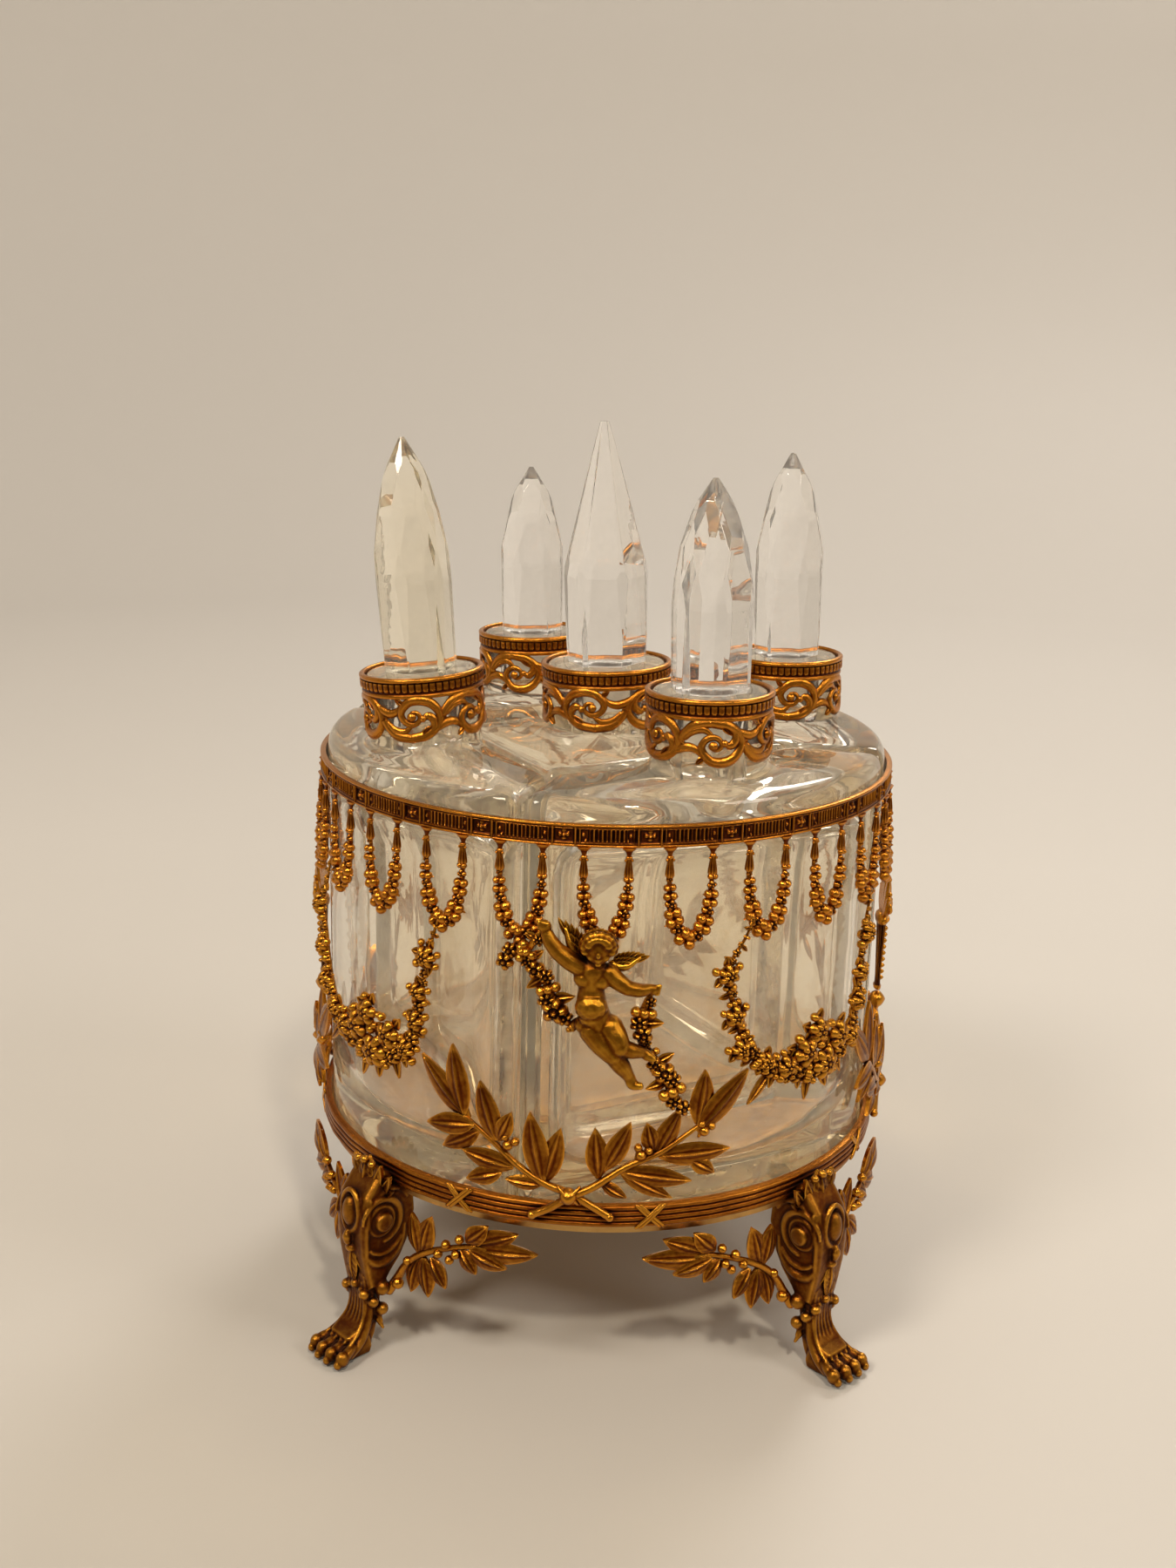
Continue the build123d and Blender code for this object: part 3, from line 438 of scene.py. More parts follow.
def remeshed(s, voxel, smooth=3, factor=0.5):
    """Merges overlapping closed shapes into one skin. Returns points and faces in the same flat millimetres."""
    me = bpy.data.meshes.new("work")
    me.from_pydata(s.array().tolist(), [], s.faces)
    bm = bmesh.new()
    bm.from_mesh(me)
    bmesh.ops.recalc_face_normals(bm, faces=bm.faces)
    bmesh.ops.triangulate(bm, faces=[f for f in bm.faces if len(f.verts) > 4])
    bm.to_mesh(me)
    bm.free()
    o = bpy.data.objects.new("work", me)
    SCENE.collection.objects.link(o)
    m = o.modifiers.new("skin", "REMESH")
    m.mode = "VOXEL"
    m.voxel_size = voxel
    m = o.modifiers.new("soft", "SMOOTH")
    m.factor = factor
    m.iterations = smooth
    bpy.context.view_layer.update()
    done = o.evaluated_get(bpy.context.evaluated_depsgraph_get()).to_mesh()
    n = len(done.vertices)
    co = np.empty(n * 3)
    done.vertices.foreach_get("co", co)
    faces = [list(p.vertices) for p in done.polygons]
    o.to_mesh_clear()
    bpy.data.objects.remove(o)
    bpy.data.meshes.remove(me)
    return co.reshape(-1, 3), faces


# ------------------------------------------------------------------ upper band
BAND_Z0, BAND_Z1 = 115.7, 120.1
BAND_TURN = 8.5


def upper_band():
    columns, rows = 24 * 92, 26
    w = 2 * math.pi * 62.0 / 24
    az = np.linspace(0, 2 * math.pi, columns, endpoint=False)
    x = ((az * 62.0 - math.radians(BAND_TURN) * 62.0 + w / 2) % w) - w / 2
    z = np.linspace(BAND_Z0, BAND_Z1, rows)
    xx, zz = np.meshgrid(x, z, indexing="ij")
    ax = np.abs(xx)
    zc = (BAND_Z0 + BAND_Z1) / 2 + 0.05

    def ridge(v, at, half, high):
        return high * np.clip(1 - ((v - at) / half) ** 2, 0, 1) ** 0.6

    h = np.full_like(xx, 61.33)
    h = np.maximum(h, 61.33 + ridge(zz, BAND_Z1 - 0.28, 0.42, 0.67))
    h = np.maximum(h, 61.33 + ridge(zz, BAND_Z1 - 0.86, 0.22, 0.38))
    h = np.maximum(h, 61.33 + ridge(zz, BAND_Z0 + 0.24, 0.36, 0.67))
    h = np.maximum(h, 61.33 + ridge(zz, BAND_Z0 + 0.72, 0.20, 0.38))
    inside = (zz > BAND_Z0 + 0.5) & (zz < BAND_Z1 - 0.6)
    h = np.where(inside, np.maximum(h, 61.33 + ridge(ax, 2.15, 0.30, 0.62)), h)
    h = np.where(inside, np.maximum(h, 61.33 + ridge(ax, 3.0, 0.22, 0.45)), h)
    rho = np.hypot(xx, zz - zc)
    phi = np.arctan2(zz - zc, xx)
    rosette = 0.95 * np.exp(-(rho / 0.42) ** 2) + 0.50 * np.abs(np.cos(2 * phi)) * np.exp(-((rho - 0.78) / 0.34) ** 2)
    h = np.where(ax < 1.9, h + rosette, h)
    h = h + 0.40 * np.exp(-(((ax - 3.65) / 0.30) ** 2 + ((zz - zc) / 0.35) ** 2))
    panel = w / 2 - ax
    pitch = 0.80
    flute = np.abs(np.cos(math.pi * panel / pitch))
    bars = (panel < 3.9) & (zz > BAND_Z0 + 1.55) & (zz < BAND_Z1 - 1.05)
    h = np.where(bars, np.maximum(h, 61.33 + 0.42 * flute ** 3), h)
    bead = ((panel + pitch / 2) % pitch) - pitch / 2
    beads = 0.50 * np.exp(-((bead / 0.25) ** 2 + ((zz - (BAND_Z0 + 1.22)) / 0.27) ** 2))
    h = np.where(panel < 4.1, h + beads, h)
    h = np.minimum(h, 62.45)
    a = np.repeat(az[:, None], rows, 1)
    outer = np.stack([h * np.sin(a), -h * np.cos(a), zz], -1)
    back_z = np.linspace(BAND_Z1 - 0.05, BAND_Z0 + 0.05, 4)
    aa, bz = np.meshgrid(az, back_z, indexing="ij")
    inner = np.stack([60.8 * np.sin(aa), -60.8 * np.cos(aa), bz], -1)
    s = Shape()
    s.loops(np.concatenate([outer, inner], 1), closed=True)
    me = mesh_from("upper_band_cast", s.array() * MM, s.faces, [gilt_red], 60, 0.8, 1)
    place("upper_band_cast", me, "stand", ["upper_band", "band_rosettes"])


upper_band()


# ------------------------------------------------------------------ lower ring
def lower_ring():
    z0, z1, reeds = 37.52, 42.2, 4
    pitch = (z1 - z0) / reeds
    az = np.linspace(0, 2 * math.pi, 480, endpoint=False)
    zz, rr = [], []
    for i in range(reeds):
        for j in range(9):
            t = (j + 0.5) / 9
            zz.append(z0 + pitch * (i + 0.5 - 0.5 * math.cos(math.pi * t)))
            rr.append(61.72 + 0.68 * math.sin(math.pi * t) ** 0.9)
    zz += [z1 - 0.03, z0 + 0.03]
    rr += [60.75, 60.75]
    zz, rr = np.array(zz), np.array(rr)
    a = az[:, None]
    sway = 0.05 * np.sin(a * 37) * (rr > 61.5)
    rings = np.stack([(rr + sway) * np.sin(a), -(rr + sway) * np.cos(a), np.broadcast_to(zz, (len(az), len(zz)))], -1)
    s = Shape()
    s.loops(rings, closed=True)
    me = mesh_from("lower_ring_reeds", s.array() * MM, s.faces, [gilt_red], 80, 1.0, 1)
    place("lower_ring_reeds", me, "stand", ["lower_ring"])
    t = Shape()
    for az0 in [-25.3 + 90 * k for k in range(4)] + [10.8 + 90 * k for k in range(4)]:
        x = arc_x(az0)
        for m in (-1, 1):
            for off in (-0.42, 0.42):
                path = [(x + m * (-2.5 + 5.0 * q) + off, z0 - 0.1 + (z1 - z0 + 0.2) * q, 62.28 + 0.22 * math.sin(math.pi * q) + 0.06 * m) for q in np.linspace(0, 1, 7)]
                tube(t, path, [0.38, 0.44, 0.38], n=16, k=8, flat=0.75)
    me = mesh_from("ribbon_ties_cast", bent(t.array()), t.faces, [gilt], 60)
    place("ribbon_ties_cast", me, "stand", ["ribbon_ties"])


lower_ring()


# -------------------------------------------------------------------- festoons
def festoons():
    rnd = random.Random(5)
    s = Shape()
    fx = 4.35
    for m in (-1, 1):
        x = m * fx
        turned(s, x, 61.75, [(BAND_Z0 + 0.1, 1.5), (BAND_Z0 - 0.25, 1.25), (BAND_Z0 - 0.7, 0.75), (BAND_Z0 - 1.25, 0.5), (BAND_Z0 - 1.7, 0.42)], 18, flat=0.55)
        turned(s, x, 61.85, [(BAND_Z0 - 1.45, 0.35), (BAND_Z0 - 1.62, 0.66), (BAND_Z0 - 1.9, 0.72), (BAND_Z0 - 2.2, 0.5)], 16, flat=0.9)
        turned(s, x, 61.9, [(BAND_Z0 - 2.1, 0.40, 0), (BAND_Z0 - 2.6, 0.58, 1), (BAND_Z0 - 3.6, 0.76, 1), (BAND_Z0 - 4.7, 0.92, 1), (BAND_Z0 - 5.4, 0.98, 1), (BAND_Z0 - 5.75, 0.72, 0.4), (BAND_Z0 - 6.0, 0.45, 0)], 32, 8, 0.26, flat=0.9)
        for side in (-1, 1):
            ball(s, x + side * 0.62, BAND_Z0 - 2.35, 62.0, 0.34, n=5, k=8)
    u = [(fx, BAND_Z0 - 6.0), (fx - 0.1, 107.2), (fx - 0.5, 104.0), (fx - 1.35, 101.0), (2.05, 98.9), (1.0, 97.8), (0.0, 97.45)]
    u = np.array(u + [(-x, z) for x, z in reversed(u[:-1])])
    n = 17
    c = curve_through(np.c_[u, np.full(len(u), 61.8)], n)
    tube(s, c, [0.5, 0.7, 0.8, 0.7, 0.5], n=40, k=8, flat=0.7, smooth=False)
    for i, (x, z, r) in enumerate(c):
        f = math.sin(math.pi * i / (n - 1)) ** 0.8
        size = 0.80 + 0.74 * f
        if i % 3 == 1:
            flower(s, x, z, r + 0.42 * size, size * 1.04, 4, 0.72 * size, turn=rnd.random() * 3, k=20)
        else:
            d = c[min(i + 1, n - 1)] - c[max(i - 1, 0)]
            q = np.array([-d[1], d[0]]) / np.hypot(d[0], d[1])
            for side in (-1, 1):
                rr = size * (0.74 + 0.08 * rnd.random())
                ball(s, x + q[0] * side * size * 0.58, z + q[1] * side * size * 0.58, r + 0.34 * size + 0.1 * rnd.random(), rr, pip=0.16, n=6, k=10, turn=rnd.random())
        if i % 3 == 2 and f > 0.4:
            d = c[min(i + 1, n - 1)] - c[max(i - 1, 0)]
            q = np.array([-d[1], d[0]]) / np.hypot(d[0], d[1])
            side = 1 if i % 2 else -1
            leaf(s, x, z, x + q[0] * side * size * 1.5, z + q[1] * side * size * 1.5 - 0.3, 0.9, r, 0.2, 0.4, 0.3, 6, 4)
    ball(s, 0, 96.55, 62.0, 0.72, 0.62, 0.6, 0.1, 6, 10)
    base = s.array()
    allp, faces = [], []
    for k in range(24):
        allp.append(bent(base, BAND_TURN + 7.5 + 15 * k))
        faces += [[i + k * len(base) for i in f] for f in s.faces]
    me = mesh_from("band_festoons_cast", np.concatenate(allp), faces, [gilt_red], 60, 1.0, 1)
    place("band_festoons_cast", me, "stand", ["band_festoons"])


festoons()

# --------------------------------------------------------------------- laurel
LAUREL = [
    (-22.9, 58.1, -32.9, 69.5, 4.2), (-23.9, 58.4, -26.2, 73.4, 4.2), (-21.7, 57.3, -31.3, 55.6, 3.8),
    (-20.8, 56.0, -28.3, 51.0, 3.4), (-17.6, 54.7, -20.7, 66.8, 4.0), (-17.0, 54.8, -14.5, 61.6, 3.0),
    (-14.2, 49.4, -24.0, 51.5, 3.8), (-16.4, 48.0, -23.1, 45.5, 3.2), (-8.8, 47.2, -11.2, 62.1, 4.2),
    (-8.5, 47.0, -5.7, 59.1, 3.8), (-8.9, 46.6, -15.6, 47.1, 2.6),
    (18.5, 58.0, 27.9, 69.9, 4.2), (18.6, 59.3, 19.8, 70.7, 4.0), (11.7, 53.3, 25.0, 53.6, 4.0),
    (17.6, 51.9, 22.0, 48.9, 2.8), (11.2, 53.5, 15.3, 63.0, 3.6), (10.7, 54.3, 9.4, 60.6, 3.0),
    (4.8, 50.4, 17.8, 47.7, 3.6), (4.8, 50.2, 14.4, 44.2, 2.8), (1.1, 48.7, 0.3, 59.5, 3.8),
    (2.1, 50.6, 6.5, 61.0, 3.6), (1.6, 47.8, 6.2, 44.7, 2.2)]
LAUREL_STEMS = [
    [(3.3, 40.3), (-0.5, 43.0), (-4.1, 45.4), (-8.2, 46.9), (-13.1, 49.8), (-18.8, 54.8), (-23.9, 58.6)],
    [(-10.6, 40.0), (-7.2, 42.0), (-4.1, 44.6), (0.1, 47.0), (5.8, 51.2), (12.0, 54.2), (18.6, 58.9)]]


def laurel():
    rnd = random.Random(3)
    s = Shape()
    for i, (a0, z0, a1, z1, w) in enumerate(LAUREL):
        leaf(s, arc_x(a0), z0, arc_x(a1), z1, w * 1.26, 62.75 + 0.22 * (i % 3), 0.25 + 0.45 * rnd.random(), 0.6, 0.85, 16, 14, 0.0, 0.86, 0.09, 0.14, curl=0.12 * (rnd.random() - 0.5))
    for j, st in enumerate(LAUREL_STEMS):
        path = [(arc_x(a), z, 63.0 + 0.35 * j + (0.3 if 1 < i < 4 else 0.0)) for i, (a, z) in enumerate(st)]
        tube(s, path, [0.8, 0.82, 0.8, 0.7, 0.6, 0.5], n=46, k=10)
        x, z, r = path[0]
        ball(s, x, z, r, 0.95, n=6, k=10)
    for a, z in ((-15.2, 54.3), (8.5, 53.8), (19.9, 57.9)):
        x = arc_x(a)
        for dx, dz, rr in ((0, 0, 1.15), (1.5, 0.9, 0.95), (-0.6, 1.6, 0.9)):
            ball(s, x + dx, z + dz, 63.4, rr, pip=0.22, n=8, k=12)
            tube(s, [(x - 1.0, z - 1.4, 63.0), (x + dx, z + dz, 63.2)], 0.28, n=5, k=6)
    bx = arc_x(-4.1)
    ball(s, bx, 45.0, 63.9, 1.75, pip=0.2, n=10, k=18)
    for m in (-1, 1):
        tube(s, [(bx - 2.0 * m, 43.0, 63.4), (bx - 0.9 * m, 44.6, 64.6), (bx + 0.9 * m, 45.9, 64.6), (bx + 2.2 * m, 47.0, 63.6)], [0.3, 0.42, 0.3], n=14, k=8)
    me = mesh_from("laurel_cast", bent(s.array()), s.faces, [gilt_leaf], 50, 1.0, 2)
    for name, a in PANELS.items():
        place("laurel_cast_" + name, me, "stand", ["laurel_" + name], a)


laurel()


# --------------------------------------------------------- garlands of flowers
def garland(s, path, sizes, big_r, seed, step=1.5, leafy=0.5):
    """A rope of small flowers, berries and leaf tips along path (x, z)."""
    rnd = random.Random(seed)
    p = np.array([(x, z, big_r) for x, z in path])
    length = np.linalg.norm(np.diff(p, axis=0), axis=1).sum()
    n = max(3, int(length / step))
    c = curve_through(p, n)
    size = np.interp(np.linspace(0, 1, n), np.linspace(0, 1, len(sizes)), sizes)
    tube(s, c, [0.45 * v for v in size], n=n, k=8, smooth=False)
    for i in range(n):
        x, z, r = c[i]
        d = c[min(i + 1, n - 1)] - c[max(i - 1, 0)]
        q = np.array([-d[1], d[0]]) / (np.hypot(d[0], d[1]) + 1e-9)
        v = size[i]
        kind = i % 4
        if kind == 0:
            flower(s, x, z, r + 0.42 * v, 1.12 * v, 5, 0.8 * v, turn=rnd.random() * 6)
        elif kind == 2:
            for m in (-1, 0, 1):
                ball(s, x + q[0] * m * v * 0.72, z + q[1] * m * v * 0.72, r + 0.35 * v + 0.25 * (m == 0), v * 0.52, pip=0.15, n=6, k=10)
        else:
            m = 1 if kind == 1 else -1
            flower(s, x + q[0] * m * 0.35 * v, z + q[1] * m * 0.35 * v, r + 0.3 * v, 0.85 * v, 6, 0.62 * v, turn=rnd.random() * 6)
            if rnd.random() < leafy + 0.3:
                ex, ez = x - q[0] * m * v * 1.9 + rnd.uniform(-0.4, 0.4), z - q[1] * m * v * 1.9 + rnd.uniform(-0.6, 0.4)
                leaf(s, x, z, ex, ez, 0.95 * v + 0.3, r - 0.1, 0.3, 0.45, 0.35, 8, 6)


CHAIN = [(-17.5, 100.6), (-18.5, 97.4), (-20.7, 93.8), (-22.1, 90), (-20.6, 84), (-18.6, 77), (-15.6, 71.5), (-12, 68.6), (-6, 66.2), (0, 65.6),
         (6, 67.4), (10, 71.4), (11.4, 78), (12.4, 84), (13.4, 90), (14.6, 94.6), (15.8, 98.6)]
HEADS = [(-22, 90.2, 2.6), (-20.4, 81.5, 2.6), (-19, 74.4, 2.4), (-13.6, 70.6, 2.3), (-9, 68.6, 2.8), (-4.4, 70.4, 3.6), (0.8, 66.6, 4.0),
         (-1.4, 74.2, 3.2), (4.6, 71.4, 3.4), (9, 69.8, 2.6), (11.2, 76.4, 2.5), (11.8, 82.6, 2.3), (13.6, 90.4, 2.7)]


def flower_garlands():
    rnd = random.Random(11)
    s = Shape()
    path = [(arc_x(a), z) for a, z in CHAIN]
    garland(s, path, [0.5, 0.8, 1.2, 1.3, 1.4, 1.7, 1.9, 1.9, 1.9, 1.8, 1.6, 1.4, 1.2, 1.0, 0.8, 0.55], 63.35, 7, 1.75, 0.7)
    for i, (a, z, r) in enumerate(HEADS):
        x = arc_x(a)
        big = 64.0 + 0.16 * r
        count = 5 if i % 3 else 6
        flower(s, x, z, big, r * 0.92, count, 1.15, turn=rnd.random() * 6, k=count * 9, cup=0.9)
        flower(s, x, z, big + 0.62, r * 0.56, count, 0.85, turn=rnd.random() * 6, cup=0.8)
        m = 5 + (r > 2.6) * 2
        for j in range(m):
            t = 2 * math.pi * (j + rnd.random() * 0.5) / m
            rr = r * (0.98 + 0.14 * rnd.random())
            if j % 2:
                leaf(s, x + 0.5 * r * math.cos(t), z + 0.5 * r * math.sin(t), x + 1.42 * r * math.cos(t), z + 1.42 * r * math.sin(t), 0.62 * r + 0.5, 63.3, 0.5, 0.5, 0.4, 9, 6)
            else:
                ball(s, x + rr * math.cos(t), z + rr * math.sin(t), 64.0, 0.72 + 0.1 * r * rnd.random(), pip=0.2, n=6, k=10)
    for x1, z1 in ((-18.8, 62.0), (-4.0, 59.6), (7.6, 62.4)):
        leaf(s, x1 * 0.72, z1 + 6.0, x1, z1, 2.6, 63.0, 0.5, 0.5, 0.45, 10, 8)
    me = mesh_from("flower_garland_cast", bent(s.array()), s.faces, [gilt], 55, 1.0, 1)
    for name, a in LEGS.items():
        place("flower_garland_cast_" + name, me, "stand", ["flower_garland_" + name], a)


flower_garlands()


# ---------------------------------------------------------------------- putto
def limb(s, points, radii, k=14):
    """A limb of round sections along points, with round ends."""
    tube(s, points, radii, n=max(10, 4 * len(points)), k=k)
    for p, r in ((points[0], radii[0]), (points[-1], radii[-1])):
        ball(s, p[0], p[1], p[2], r, n=8, k=12)


def putto():
    s = Shape()
    # trunk, tilted: shoulders up to the left, hips down to the right
    limb(s, [(-0.9, 92.6, 65.1), (-1.05, 89.4, 65.0), (-0.85, 85.6, 65.4), (0.3, 82.2, 65.2)], [2.75, 2.45, 2.95, 2.9], 20)
    ball(s, -2.25, 91.3, 65.75, 2.2, 2.0, 1.95)
    ball(s, 0.45, 91.0, 65.8, 2.15, 1.95, 1.9)
    ball(s, -0.95, 85.9, 66.4, 3.1, 2.9, 2.75)
    ball(s, -0.7, 83.6, 66.2, 2.6, 1.9, 2.2)
    ball(s, -1.5, 81.9, 65.3, 2.6, 2.3, 2.2)
    ball(s, 2.0, 81.9, 65.5, 2.6, 2.4, 2.3)
    limb(s, [(-0.6, 93.4, 65.4), (-0.1, 95.0, 65.8)], [1.8, 1.6])
    # raised arm and the arm that holds the garland
    limb(s, [(-3.0, 93.4, 65.3), (-5.2, 94.8, 65.8), (-7.4, 96.5, 65.9)], [2.05, 1.9, 1.65])
    limb(s, [(-7.4, 96.5, 65.9), (-8.8, 98.4, 65.8), (-9.6, 100.2, 65.6)], [1.65, 1.5, 1.1])
    ball(s, -9.9, 101.1, 65.7, 1.4, 1.35, 1.1)
    for j in range(4):
        ball(s, -10.8 + 0.5 * j, 101.9 - 0.12 * j, 66.2, 0.46, 0.66, 0.5, n=5, k=8)
    limb(s, [(2.0, 92.4, 65.4), (3.8, 90.9, 65.9), (5.6, 89.7, 66.3)], [1.95, 1.75, 1.5])
    limb(s, [(5.6, 89.7, 66.3), (7.9, 89.3, 66.4), (9.7, 89.5, 66.2)], [1.5, 1.4, 1.0])
    ball(s, 10.3, 89.3, 66.2, 1.3, 1.1, 1.0)
    for j in range(4):
        ball(s, 10.9 + 0.12 * j, 88.5 + 0.55 * j, 66.6, 0.66, 0.4, 0.44, n=5, k=8)
    # legs: one stretched, one bent back
    limb(s, [(-0.6, 80.9, 65.6), (1.2, 78.6, 66.4), (3.3, 76.2, 66.8)], [2.7, 2.45, 1.95])
    limb(s, [(3.3, 76.2, 66.8), (5.1, 73.6, 66.5), (6.4, 71.5, 66.2)], [1.85, 1.75, 1.1])
    limb(s, [(6.4, 71.5, 66.2), (7.0, 70.2, 66.4), (8.2, 70.0, 66.9)], [1.15, 1.15, 0.8])
    for j in range(3):
        ball(s, 8.6 - 0.1 * j, 69.7 + 0.42 * j, 66.9, 0.42, 0.3, 0.36, n=5, k=8)
    limb(s, [(2.5, 81.6, 65.8), (3.7, 79.8, 66.8), (4.5, 78.2, 67.3)], [2.6, 2.35, 1.9])
    limb(s, [(4.5, 78.2, 67.3), (6.6, 77.3, 66.9), (8.8, 76.6, 66.3)], [1.75, 1.6, 1.05])
    limb(s, [(8.8, 76.6, 66.3), (9.6, 76.0, 66.4), (10.5, 75.5, 66.7)], [1.05, 1.05, 0.75])
    # end of the cloth behind the hips
    limb(s, [(-2.6, 82.4, 64.8), (-4.0, 81.6, 64.6), (-4.4, 80.3, 64.4)], [1.0, 0.9, 0.6])
    # head: skull, cheeks, chin, nose, ears
    hx, hz, hr = 0.1, 97.7, 66.1
    ball(s, hx, hz, hr, 2.85, 3.05, 2.75, n=14, k=20)
    ball(s, hx, hz - 1.5, hr + 0.9, 1.9, 1.6, 1.6, n=10, k=14)
    for m in (-1, 1):
        ball(s, hx + 1.15 * m, hz - 1.35, hr + 1.55, 0.95, 0.95, 0.85, n=8, k=12)
        ball(s, hx + 2.75 * m, hz - 0.5, hr + 0.1, 0.5, 0.8, 0.6, n=6, k=8)
        ball(s, hx + 1.0 * m, hz + 0.45, hr + 2.28, 0.72, 0.22, 0.34, n=6, k=10)
        ball(s, hx + 1.0 * m, hz - 0.25, hr + 2.12, 0.46, 0.34, 0.36, n=6, k=10)
    ball(s, hx, hz - 0.75, hr + 2.62, 0.40, 0.62, 0.46, n=7, k=10)
    ball(s, hx, hz - 1.05, hr + 2.75, 0.42, 0.34, 0.42, n=7, k=10)
    ball(s, hx, hz - 1.78, hr + 2.38, 0.60, 0.20, 0.32, n=6, k=10)
    ball(s, hx, hz - 2.10, hr + 2.30, 0.48, 0.20, 0.30, n=6, k=10)
    ball(s, hx, hz - 2.75, hr + 1.95, 0.62, 0.50, 0.5, n=6, k=10)
    rnd = random.Random(2)
    for i in range(34):
        t = math.pi * (-0.12 + 1.24 * (i % 12) / 11)
        tilt = (0.15, 0.62, 1.1)[i // 12]
        rr = 2.8
        x = hx + rr * math.cos(t) * math.cos(tilt * 0.8)
        z = hz + 0.35 + rr * math.sin(t) * math.cos(tilt * 0.8) + 0.1
        dep = hr + 2.35 * math.sin(tilt) + 0.2
        if z < hz + 0.75 and abs(x - hx) < 1.8:
            continue
        ball(s, x, z, dep, 0.78 + 0.2 * rnd.random(), 0.78, 0.78, n=6, k=9)
    pts, faces = remeshed(s, 0.17, 8, 0.5)
    body = mesh_from("putto_figure_cast", bent(pts), faces, [gilt_yellow], 179, 1.0, 3)

    v = Shape()
    # wings: rows of feathers
    for x0, z0, x1, z1, wide, m in ((-2.3, 94.2, -6.3, 100.4, 4.6, 1), (2.4, 93.6, 8.0, 94.9, 4.2, -1)):
        d = np.array([x1 - x0, z1 - z0])
        ln = np.linalg.norm(d)
        d /= ln
        q = np.array([-d[1], d[0]]) * m
        for row, (start, reach, count, wd) in enumerate(((0.12, 1.0, 7, 1.5), (0.05, 0.66, 6, 1.35), (0.0, 0.38, 5, 1.2))):
            for j in range(count):
                f = j / (count - 1)
                bx, bz = x0 + d[0] * ln * (start + 0.34 * f) + q[0] * 0.5, z0 + d[1] * ln * (start + 0.34 * f) + q[1] * 0.5
                ang = (0.98 - 0.92 * f)
                dirv = d * math.cos(ang) - q * math.sin(ang)
                rch = ln * reach * (0.46 + 0.40 * f)
                leaf(v, bx, bz, bx + dirv[0] * rch, bz + dirv[1] * rch, wd, 63.3 + 0.5 * row, 0.35, 0.4, 0.3, 10, 6, wide_at=1.1, vein=0.06, base=0.5)
        tube(v, [(x0, z0, 64.2), (x0 + d[0] * ln * 0.45 + q[0] * 0.9, z0 + d[1] * ln * 0.45 + q[1] * 0.9, 64.5), (x1, z1, 63.9)], [0.95, 0.8, 0.32], n=16, k=10)
    wings = mesh_from("putto_wings_cast", bent(v.array()), v.faces, [gilt_yellow], 55, 1.0, 1)
    w = Shape()
    left = [(-15.9, 92.8), (-14.2, 95.0), (-12.6, 95.2), (-11.0, 92.4), (-8.6, 89.4), (-7.6, 85.6), (-6.4, 82.6), (-4.2, 80.9)]
    right = [(9.4, 88.3), (8.0, 84.6), (7.9, 81.0), (8.2, 77.8), (10.2, 74.4), (12.2, 70.6), (13.6, 66.8), (15.4, 63.9)]
    garland(w, [(arc_x(a), z) for a, z in left], [1.7, 2.1, 1.7, 1.8, 2.0, 2.4, 2.5, 1.2], 63.9, 21, 2.0, 0.3)
    garland(w, [(arc_x(-9.1), 100.6), (arc_x(-10.6), 97.8), (arc_x(-12.0), 95.4)], [1.1, 1.5, 1.8], 64.2, 22, 1.9, 0.2)
    garland(w, [(arc_x(a), z) for a, z in right], [0.9, 2.1, 2.2, 1.1, 1.9, 2.2, 2.4, 1.5], 64.3, 23, 2.0, 0.3)
    trim = mesh_from("putto_garland_cast", bent(w.array()), w.faces, [gilt], 55, 1.0, 1)
    for name in ("front", "back"):
        place("putto_figure_cast_" + name, body, "stand", ["putto_" + name], PANELS[name])
        place("putto_wings_cast_" + name, wings, "stand", None, PANELS[name])
        place("putto_garland_cast_" + name, trim, "stand", None, PANELS[name])


putto()


